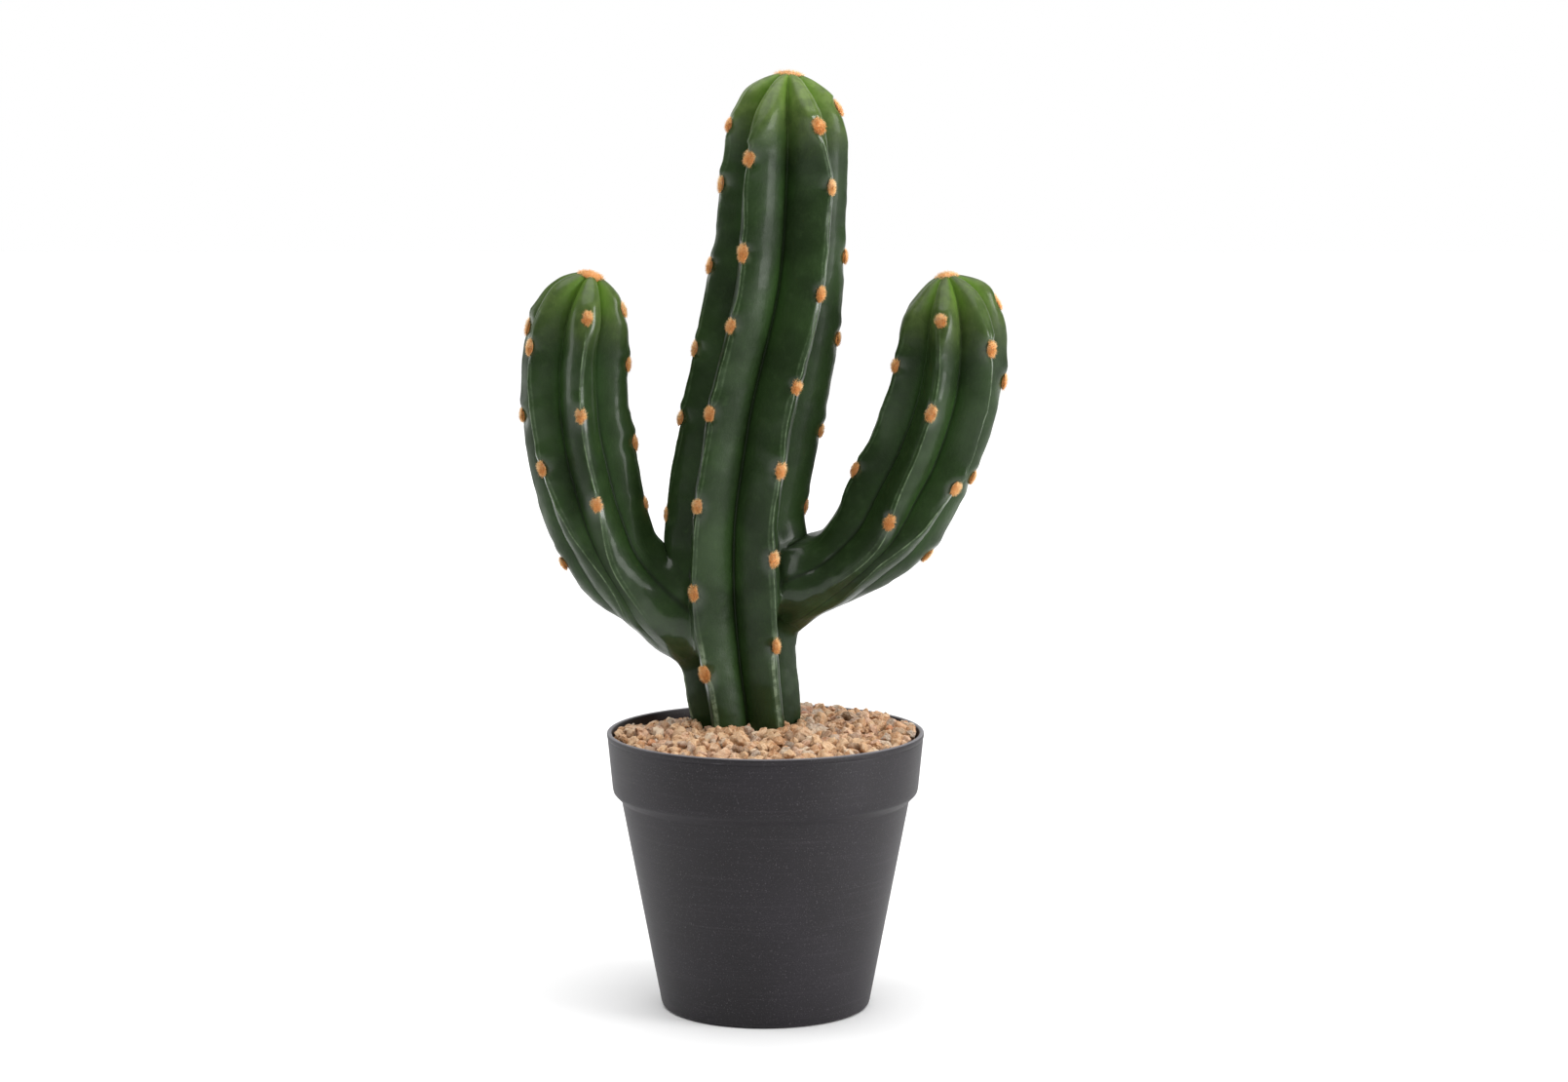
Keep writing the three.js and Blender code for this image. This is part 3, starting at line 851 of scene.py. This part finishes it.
def tuft_frame(limb, rib, from_tip):
    foot = crest_point(limb, rib, from_tip)
    along = crest_point(limb, rib, max(from_tip - 2, 0)) - crest_point(limb, rib, from_tip + 2)
    along /= np.linalg.norm(along)
    out = foot - limb.axes(1 - from_tip / limb.length)[0][0]
    out -= along * (out @ along)
    out /= np.linalg.norm(out)
    return foot, np.array([np.cross(along, out), along, out])


def core_points(across, along, stand, rng):
    """A low dome under the fibres, as rows of a closed grid."""
    rows, columns = 6, 16
    height = np.linspace(-0.85, 0.92, rows)
    turn = 2 * math.pi * np.arange(columns) / columns
    width = np.sqrt(1 - height**2)
    uneven = 1 + rng.uniform(-0.08, 0.08, (rows, columns))
    x = across * width[:, None] * np.cos(turn) * uneven
    y = along * width[:, None] * np.sin(turn) * uneven
    z = (0.9 * stand * height[:, None] - 0.35) + 0 * x
    poles = np.array([[0, 0, 0.9 * stand - 0.35], [0, 0, -0.9 * stand - 0.35]])
    return np.vstack([np.stack([x, y, z], axis=-1).reshape(-1, 3), poles]), closed_grid(rows, columns)


def limb_tufts(name, limb, rng):
    points, threes, fours, shade, reach = [], [], [], [], []
    frames = []
    for rib, distance, size in places[name]:
        slim = rng.uniform(0.9, 1.15)
        spread = TUFT_ACROSS * size / slim, TUFT_ALONG * size * slim
        frames.append((*tuft_frame(limb, rib, distance), *spread, 1.0))
    tip, along, front, side = (value[0] for value in limb.axes(1))
    upright = np.array([side, front, along])
    frames.append((tip - CROWN_SUNK * along, upright, *CROWN_SPREAD[name], CROWN_STAND))
    start = 0
    for foot, directions, across, down, stand in frames:
        colour_shift = rng.uniform(-0.15, 0.15)
        fibres = fibre_points(FIBRE_COUNT, across, down, stand, rng)
        core, core_faces = core_points(across * 0.95, down * 0.95, stand, rng)
        local = np.vstack([fibres.reshape(-1, 3), core])
        points.append(foot + local @ directions)
        core_start = start + 4 * FIBRE_COUNT
        threes += [start + fibre_faces(FIBRE_COUNT), core_start + core_faces[1]]
        fours.append(core_start + core_faces[0])
        tones = rng.normal(0.5, 0.2, FIBRE_COUNT) + colour_shift
        # Painted light: hairs rooted on one half of each tuft are painted paler; that half is the tip-ward
        # one on a rib and the front one on a crown.
        tones += 0.12 * np.sign(fibres[:, 0, 1])
        shade += [np.repeat(np.clip(tones, 0, 1), 4), np.full(len(core), 0.3)]
        reach += [np.tile([0, 0, 0, 1], FIBRE_COUNT), np.zeros(len(core))]
        start += len(local)
    piece = make_object(name + "_tufts", np.vstack(points), [np.vstack(threes), np.vstack(fours)])
    keep_values(piece, shade=np.concatenate(shade), reach=np.concatenate(reach))
    return piece


# %% [markdown]
# The fibre is dyed in one bath but looks uneven: some hairs are pale at random. Light and shade are
# painted as well: the hairs on one half of each tuft are painted paler, as painted light from above, and
# the roots are painted darker, as painted shade where no light gets in. One number for each fibre and one
# for the way along it are enough for that.

# %% Fibre material and tufts
def fibre_material():
    s = Sheet("areole_fibre")
    shade, reach = s.value("shade"), s.value("reach")
    stops = [(0, (220, 140, 62)), (0.35, (236, 170, 92)), (0.7, (244, 198, 130)), (1, (246, 222, 182))]
    dyed = s.node("ShaderNodeValToRGB", {"stops": stops}, {"Fac": shade})
    # Painted shade: the roots of the hairs, and the core under them, are painted darker.
    dyed_with_root_shade = s.mix(reach.between(-0.5, 0.6), colour(196, 112, 44), dyed)
    return s.finish(Base_Color=dyed_with_root_shade, Roughness=0.75, Sheen_Weight=0.25, Sheen_Roughness=0.5)


fibre = fibre_material()
rng = np.random.default_rng(11)
for name, limb in limbs.items():
    piece = limb_tufts(name, limb, rng)
    piece.data.materials.append(fibre)
    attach(piece, "root")
    print(piece.name, "has", triangles(piece), "triangles")

# %% [markdown]
# ## The pot
# The pot is one moulded piece: a tapered body, a taller band round its rim, a foot ring and drain holes.
# It is turned from its profile, with enough points round each edge for a soft highlight. Its sizes are
# those of the solid pot.

# %% Pot profile
pot_low, pot_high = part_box("pot")
RIM_RADIUS = pot_high.x / MM
RIM_HEIGHT = pot_high.z / MM
BAND_BOTTOM, BAND_BOTTOM_RADIUS = 83.8, RIM_RADIUS - 2.2
BODY_TOP, BODY_TOP_RADIUS = 79.4, RIM_RADIUS - 5.5
BASE_RADIUS, FOOT_INNER_RADIUS, FOOT_HEIGHT = RIM_RADIUS - 20.6, 32, 2
WALL = 2
FLOOR_TOP = FOOT_HEIGHT + WALL
POT_SEGMENTS = 240


def body_radius(height):
    return np.interp(height, [0, BODY_TOP], [BASE_RADIUS, BODY_TOP_RADIUS])


def band_radius(height):
    return np.interp(height, [BAND_BOTTOM, RIM_HEIGHT], [BAND_BOTTOM_RADIUS, RIM_RADIUS])


def rounded(corners, steps=5):
    """A profile of (radius, height, rounding), with each corner replaced by a soft curve of that reach."""
    points = []
    for i, (r, z, soft) in enumerate(corners):
        here = np.array([r, z], float)
        if soft == 0 or i in (0, len(corners) - 1):
            points.append(here)
            continue
        before = np.array(corners[i - 1][:2], float) - here
        after = np.array(corners[i + 1][:2], float) - here
        start = here + before / np.linalg.norm(before) * soft
        end = here + after / np.linalg.norm(after) * soft
        for t in np.linspace(0, 1, steps):
            points.append((1 - t) ** 2 * start + 2 * t * (1 - t) * here + t**2 * end)
    return np.array(points)


POT_CORNERS = [
    (0, FOOT_HEIGHT, 0), (FOOT_INNER_RADIUS - FOOT_HEIGHT, FOOT_HEIGHT, 0.6), (FOOT_INNER_RADIUS, 0, 0.4),
    (BASE_RADIUS, 0, 1.8), (body_radius(30), 30, 0), (BODY_TOP_RADIUS, BODY_TOP, 0.5),
    (BAND_BOTTOM_RADIUS - 0.3, BAND_BOTTOM - 1.4, 0.7), (BAND_BOTTOM_RADIUS + 0.05, BAND_BOTTOM + 0.4, 0.5),
    (band_radius(RIM_HEIGHT - 2.6) - 0.1, RIM_HEIGHT - 2.6, 0.25),
    (band_radius(RIM_HEIGHT - 2.2) - 0.28, RIM_HEIGHT - 2.2, 0.2),
    (band_radius(RIM_HEIGHT - 1.8), RIM_HEIGHT - 1.8, 0.25),
    (RIM_RADIUS, RIM_HEIGHT, 0.9), (RIM_RADIUS - WALL + 0.2, RIM_HEIGHT, 0.7),
    (RIM_RADIUS - WALL - 0.15, RIM_HEIGHT - 1.6, 0.5), (BAND_BOTTOM_RADIUS - WALL, BAND_BOTTOM, 0.5),
    (BODY_TOP_RADIUS - WALL, BODY_TOP + 0.6, 0.5),
    (body_radius(FLOOR_TOP + WALL) - WALL, FLOOR_TOP + WALL, 0.5),
    (body_radius(FLOOR_TOP) - 2 * WALL, FLOOR_TOP, 0.5), (0, FLOOR_TOP, 0),
]


# %% Turn the pot and drill its drain holes
DRAIN_HOLES, DRAIN_HOLE_RADIUS, DRAIN_HOLE_CIRCLE = 6, 3.5, 20


def turned(name, profile, segments):
    """A body turned round the upright axis. The profile starts and ends on it."""
    turn = 2 * math.pi * np.arange(segments) / segments
    ring = profile[1:-1]
    x = ring[:, :1] * np.cos(turn)
    y = ring[:, :1] * np.sin(turn)
    z = ring[:, 1:] + 0 * x
    points = np.stack([x, y, z], axis=-1).reshape(-1, 3)
    poles = np.array([[0, 0, profile[-1][1]], [0, 0, profile[0][1]]])
    return make_object(name, np.vstack([points, poles]), closed_grid(len(ring), segments))


pot = turned("pot_shell", rounded(POT_CORNERS), POT_SEGMENTS)
drill_top = 2 * FLOOR_TOP
hole_profile = np.array([(0, -1), (DRAIN_HOLE_RADIUS, -1), (DRAIN_HOLE_RADIUS, drill_top), (0, drill_top)])
drills = []
for k in range(DRAIN_HOLES):
    turn = 2 * math.pi * k / DRAIN_HOLES
    drill = turned("drill", hole_profile, 32)
    drill.location = Vector((math.cos(turn), math.sin(turn), 0)) * DRAIN_HOLE_CIRCLE * MM
    drills.append(drill)
combine(pot, drills, "DIFFERENCE")
print("the pot has", triangles(pot), "triangles")


# %% [markdown]
# The pot's plastic is a dark charcoal with a dry, slightly grained surface. Faint rings run round it
# from the mould, and the grain gathers dusty specks. The corners are painted paler, partly for wear and
# partly as a painted highlight, and the rim's top is painted pale as a painted highlight from the light
# above.

# %% Pot material
def pot_material():
    s = Sheet("pot_plastic")
    place = s.place()
    clouds = s.grain(place, 30, detail=4)
    specks = s.grain(place, 0.55, detail=3, roughness=0.6)
    rings = s.grain(place * (25, 25, 900), 1000, detail=3, roughness=0.65)
    # Painted highlight and wear: the pot's convex corners are painted paler, partly as wear and partly for
    # the light they catch.
    edge = s.node("ShaderNodeNewGeometry").output("Pointiness").between(0.52, 0.58)
    height = s.node("ShaderNodeSeparateXYZ", {}, {0: place}).output("Z")
    # Painted highlight: the rim's upward face is painted pale, for the light falling on it from above.
    rim_top_highlight = height.between((RIM_HEIGHT - 0.5) * MM, (RIM_HEIGHT - 0.05) * MM)
    body = s.painted(
        colour(20, 16, 21),
        (clouds.between(0.35, 0.7), (27, 23, 29)),
        (rings.between(0.5, 0.8) * 0.4, (50, 45, 51)),
        (specks.between(0.56, 0.72) * 0.5, (82, 77, 82)),
        (edge * 0.4, (96, 93, 98)),
        (rim_top_highlight * 0.75, (128, 126, 130)),
    )
    relief = specks * 0.6 + rings * 0.5
    roughness = 0.52 + (specks - 0.5) * 0.2 + (clouds - 0.5) * 0.12 - edge * 0.1
    return s.finish(
        Base_Color=body, Roughness=roughness, Specular_IOR_Level=0.35, Normal=s.bump(relief, 0.12, 0.5),
    )


pot.data.materials.clear()
pot.data.materials.append(pot_material())
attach(pot, "root")
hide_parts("pot")

# %% [markdown]
# ## Gravel
# The top dressing is small broken quartz, three to eight millimetres across, heaped a little against the
# stem. The stones are laid one by one: each is dropped at a random spot, rolls to the lowest place that
# it can find beside the stones already there, and is left out if it would stick up over the heap.

# %% Room for the gravel
MIX_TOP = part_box("potting_mix")[1].z / MM
STEM_LEVEL = 102
heights = trunk.axes(np.linspace(0, 0.3, 200))[0][:, 2]
stem_share = np.full(360, np.interp(STEM_LEVEL, heights, np.linspace(0, 0.3, 200)))
stem_angle = np.radians(np.arange(360.0))
_, stem_part, stem_span = trunk.on_rib(stem_share, stem_angle)
stem_outline = trunk.point(stem_share, stem_angle, trunk.reach(stem_share, stem_part, stem_span))
stem_centre = trunk.axes(stem_share[0])[0][0][:2]
stem_turn = np.arctan2(stem_outline[:, 1] - stem_centre[1], stem_outline[:, 0] - stem_centre[0])
stem_order = np.argsort(stem_turn)
stem_turn = stem_turn[stem_order]
stem_reach = np.hypot(*(stem_outline[:, :2] - stem_centre).T)[stem_order]


def from_stem(x, y):
    """Distance from the stem's skin, outwards."""
    turn = np.arctan2(y - stem_centre[1], x - stem_centre[0])
    reach = np.interp(turn, stem_turn, stem_reach, period=2 * math.pi)
    return np.hypot(x - stem_centre[0], y - stem_centre[1]) - reach


HEAP_TOP, HEAP_FALL = 107.6, 3.6
HEAP_PILES = [(-33, 2, 3.2, 10), (-13, -17, 1.8, 9), (12, -21, 1.8, 10), (-50, -8, 1.2, 18)]


def heap(x, y):
    """Height of the top of the gravel."""
    from_axis = np.hypot(x, y) / RIM_RADIUS
    high = HEAP_TOP - HEAP_FALL * from_axis**1.8
    high += 1.8 * ramp(0.8 * x + 0.6 * y, 12, 50)
    high -= 2.6 * bell(np.hypot(x + 36, y - 38), 24)
    for px, py, lift, width in HEAP_PILES:
        high += lift * bell(np.hypot(x - px, y - py), width)
    return high + 0.6 * np.sin(x / 9 + 1) * np.cos(y / 8)


# %% Lay the stones
STONE_SIZE = (1.5, 4.3)
GRAVEL_DEPTH = 8
STONE_DROPS = 4200
SETTLING = 0.9
STONE_TRIES = 12


def lay_stones(rng):
    """Each laid stone as x, y, z and radius."""
    laid = np.empty((STONE_DROPS, 4))
    count = 0

    def lowest(x, y, radius):
        near = laid[:count]
        reach = (near[:, 3] + radius) * SETTLING
        gap = reach**2 - (near[:, 0] - x) ** 2 - (near[:, 1] - y) ** 2
        touching = gap > 0
        ground = heap(x, y) - GRAVEL_DEPTH + 0.4 * radius
        return max(ground, (near[touching, 2] + np.sqrt(gap[touching])).max(initial=0))

    for _ in range(STONE_DROPS):
        radius = STONE_SIZE[0] + (STONE_SIZE[1] - STONE_SIZE[0]) * rng.beta(1.4, 2.8)
        away, turn = (RIM_RADIUS - WALL) * math.sqrt(rng.uniform()), rng.uniform(0, 2 * math.pi)
        x, y = away * math.cos(turn), away * math.sin(turn)
        best = None
        for attempt in range(STONE_TRIES):
            step = 0 if attempt == 0 else 0.7 * radius
            tx, ty = x + step * rng.uniform(-1, 1), y + step * rng.uniform(-1, 1)
            room = band_radius(100) - WALL - 0.2 - math.hypot(tx, ty)
            if room < 0.85 * radius or from_stem(tx, ty) < 0.75 * radius:
                continue
            z = lowest(tx, ty, radius)
            if best is None or z < best:
                best, x, y = z, tx, ty
        if best is not None and best + 0.55 * radius < heap(x, y):
            laid[count] = x, y, best, radius
            count += 1
    return laid[:count]


rng = np.random.default_rng(5)
stones = lay_stones(rng)
print("stones laid:", len(stones))

# %% [markdown]
# A stone is a ball of small faces that is cut by a few random planes, roughened by noise, pressed out
# of round and turned any way. Stones that others cover get fewer faces.

# %% Shape the stones
STONE_CUTS = (5, 10)
STONE_ROUGHNESS = ((0.85, 0.38), (0.38, 0.24))
STONE_CREASE = math.radians(40)
TOP_STONES = 600


def ball(detail):
    """Points and triangles of a round ball."""
    form = bmesh.new()
    bmesh.ops.create_icosphere(form, subdivisions=detail, radius=1)
    points = np.array([vertex.co for vertex in form.verts])
    faces = np.array([[vertex.index for vertex in face.verts] for face in form.faces])
    form.free()
    return points, faces


def shape_stones(name, stones, detail, rng):
    points, faces = ball(detail)
    made, tone, tint = [], [], []
    for x, y, z, radius in stones:
        form = points.copy()
        for _ in range(rng.integers(*STONE_CUTS)):
            normal = rng.normal(0, 1, 3)
            normal /= np.linalg.norm(normal)
            over = np.maximum(form @ normal - rng.uniform(0.62, 0.92), 0)
            form -= 0.97 * over[:, None] * normal
        where = form + rng.uniform(0, 100, 3)
        form *= 1 + sum(height * ripple(where, size) for size, height in STONE_ROUGHNESS)[:, None]
        form *= rng.uniform([1.05, 0.9, 0.75], [1.45, 1.15, 0.95])
        axes, _ = np.linalg.qr(rng.normal(0, 1, (3, 3)))
        axes *= np.sign(np.linalg.det(axes))
        made.append(form @ axes * radius + (x, y, z))
        tone.append(np.full(len(points), rng.uniform()))
        tint.append(np.full(len(points), rng.uniform()))
    index = len(points) * np.arange(len(stones))[:, None, None] + faces[None]
    piece = make_object(name, np.vstack(made), [index.reshape(-1, 3)])
    piece.data.set_sharp_from_angle(angle=STONE_CREASE)
    keep_values(piece, tone=np.concatenate(tone), tint=np.concatenate(tint))
    return piece


cover = heap(stones[:, 0], stones[:, 1]) - stones[:, 2] - 0.5 * stones[:, 3]
order = np.argsort(cover)
shown, hidden = stones[order[:TOP_STONES]], stones[order[TOP_STONES:]]
top_stones = shape_stones("gravel_top", shown, 3, rng)
low_stones = shape_stones("gravel_under", hidden, 2, rng)
print("top stones:", len(shown), "under them:", len(hidden))
print("triangles:", triangles(top_stones), triangles(low_stones))

# %% [markdown]
# Under the stones lies a bed of grit, which closes the gaps. It is a ring between the stem and the pot's
# wall, with a rough top.

# %% Bed of grit
BED_TURNS, BED_RINGS = 160, 30
GAP = 0.35


def make_bed():
    turn = 2 * math.pi * np.arange(BED_TURNS) / BED_TURNS
    heading = np.stack([np.cos(turn), np.sin(turn)], axis=1)
    inner_reach = np.interp(turn, stem_turn, stem_reach, period=2 * math.pi) - 0.3
    inner = stem_centre + inner_reach[:, None] * heading
    outer = (band_radius(MIX_TOP) - WALL - GAP) * heading
    share = np.linspace(0, 1, BED_RINGS)[:, None, None]
    flat = inner + (outer - inner) * share
    top = heap(flat[..., 0], flat[..., 1]) - 0.62 * GRAVEL_DEPTH
    top += ripple(np.dstack([flat, top]).reshape(-1, 3), 1.9).reshape(top.shape) * 0.8
    upper = np.dstack([flat, top])
    lower = np.dstack([flat[::-1][[0, -1]], np.full((2, BED_TURNS), MIX_TOP + GAP)])
    rows = np.concatenate([upper, lower])
    index = np.arange(len(rows) * BED_TURNS).reshape(len(rows), BED_TURNS)
    index = np.vstack([index, index[:1]])
    onward = np.roll(index, -1, axis=1)
    quads = np.stack([index[:-1], index[1:], onward[1:], onward[:-1]], axis=-1).reshape(-1, 4)
    return make_object("gravel_bed", rows.reshape(-1, 3), [quads])


bed = make_bed()


# %% [markdown]
# Broken quartz is beige to pinkish, with some grey and a few rust-stained grains. Its faces are smooth
# in some places and sugary in others. Two random numbers for each stone choose its colour.

# %% Stone materials
def stone_material(name, gap_shade):
    s = Sheet(name)
    place = s.place()
    tone, tint = s.value("tone"), s.value("tint")
    veins = s.grain(place, 1.8, detail=5, roughness=0.62, lean=0.6)
    sugar = s.grain(place, 0.45, detail=3, roughness=0.65)
    stops = [(0, (196, 146, 102)), (0.25, (218, 174, 130)), (0.5, (230, 192, 150)),
             (0.72, (222, 178, 146)), (0.88, (184, 166, 148)), (1, (240, 214, 182))]
    body = s.painted(
        s.node("ShaderNodeValToRGB", {"stops": stops}, {"Fac": tone}),
        (veins.between(0.45, 0.75) * 0.55, (240, 216, 186)),
        (veins.between(0.52, 0.32) * 0.75, (176, 118, 74)),
        (tint.between(0.97, 0.99) * 0.5, (206, 112, 62)),
        (tint.between(0.1, 0.04) * 0.5, (120, 104, 94)),
        # Painted shade: the grit under the stones is darkened towards brown, for the shade in the gaps.
        (gap_shade, (150, 116, 86)),
    )
    height = veins * 0.6 + sugar * 0.6
    roughness = 0.4 + (veins - 0.5) * 0.5 + tint * 0.15
    return s.finish(Base_Color=body, Roughness=roughness, Normal=s.bump(height, 0.8, 1.0))


stone_finish = stone_material("gravel_stone", 0.0)
# The grit is painted darker as painted shade in the gaps; the stones get none.
grit_finish = stone_material("gravel_grit", 0.6)
for piece, finish in ((top_stones, stone_finish), (low_stones, stone_finish), (bed, grit_finish)):
    piece.data.materials.append(finish)
    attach(piece, "root")
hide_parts("gravel")
print("the gravel is dressed")


# %% [markdown]
# ## Potting mix
# The mix shows only through the drain holes, so its solid stays and gets a crumbly brown finish.

# %% Potting mix material
def mix_material():
    s = Sheet("potting_mix")
    place = s.place()
    crumbs = s.grain(place, 2.2, detail=6, roughness=0.65)
    fibres = s.grain(place * (1, 1, 4), 0.8, detail=3)
    body = s.mix(crumbs.between(0.35, 0.65), colour(38, 27, 20), colour(86, 64, 46))
    body = s.mix(fibres.between(0.66, 0.74) * 0.6, body, colour(138, 108, 78))
    return s.finish(Base_Color=body, Roughness=0.92, Normal=s.bump(crumbs + fibres * 0.4, 1.2, 0.9))


potting_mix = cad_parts["potting_mix"]
potting_mix.data.materials.clear()
potting_mix.data.materials.append(mix_material())

# %% [markdown]
# ## Stage
# A pale floor, a large soft light overhead, one at each side and one on the backdrop, as in a product
# studio. The right light is stronger than the left one. The camera stands where the picture was taken
# from: well above the gravel's height, looking slightly down through a long lens.

# %% Floor, lights and camera
def make_floor():
    size = 8000
    s = Sheet("studio_floor")
    finish = s.finish(Base_Color=(0.9, 0.9, 0.9, 1), Roughness=0.8)
    corners = np.array([[-size, -size, 0], [size, -size, 0], [size, size, 0], [-size, size, 0]], float)
    floor = make_object("floor", corners, [np.array([[0, 1, 2, 3]])], smooth=False)
    floor.data.materials.append(finish)


def soft_light(name, place, target, width, height, watts):
    light = bpy.data.lights.new(name, "AREA")
    light.shape, light.size, light.size_y, light.energy = "RECTANGLE", width, height, watts
    stand = bpy.data.objects.new(name, light)
    stand.location = place
    stand.rotation_euler = (Vector(target) - Vector(place)).to_track_quat("-Z", "Y").to_euler()
    bpy.context.scene.collection.objects.link(stand)


def open_sky(strength, angle):
    light = bpy.data.lights.new("overhead", "SUN")
    light.energy, light.angle = strength, math.radians(angle)
    stand = bpy.data.objects.new("overhead", light)
    stand.rotation_euler = (math.radians(6), math.radians(2), 0)
    bpy.context.scene.collection.objects.link(stand)


make_floor()
open_sky(3.6, 80)
soft_light("right", (1.36, -0.6, 0.45), (0, 0, 0.2), 0.7, 0.8, 17)
soft_light("left", (-1.5, 0.3, 0.42), (0, 0, 0.2), 0.8, 0.8, 7)
soft_light("backdrop", (0, 2.6, 1.25), (0, 0, 1.25), 5, 2.4, 39)

world = bpy.data.worlds.new("studio")
world.use_nodes = True
bpy.context.scene.world = world
sky, sky_links = world.node_tree.nodes, world.node_tree.links
backdrop = sky["Background"]
backdrop.inputs["Color"].default_value = (1, 1, 1, 1)
ray = sky.new("ShaderNodeLightPath")
brightness = sky.new("ShaderNodeMapRange")
brightness.inputs["To Min"].default_value = 0.07
brightness.inputs["To Max"].default_value = 1.0
sky_links.new(ray.outputs["Is Camera Ray"], brightness.inputs["Value"])
sky_links.new(brightness.outputs["Result"], backdrop.inputs["Strength"])

camera = bpy.data.objects.new("camera", bpy.data.cameras.new("camera"))
looking_down = 6.965
camera.location = (0.007, -1.25, 0.33)
camera.rotation_euler = (math.radians(90 - looking_down), 0, 0)
camera.data.lens = 77
camera.data.sensor_width = 36
bpy.context.scene.collection.objects.link(camera)
bpy.context.scene.camera = camera
bpy.context.scene.view_settings.view_transform = "Standard"
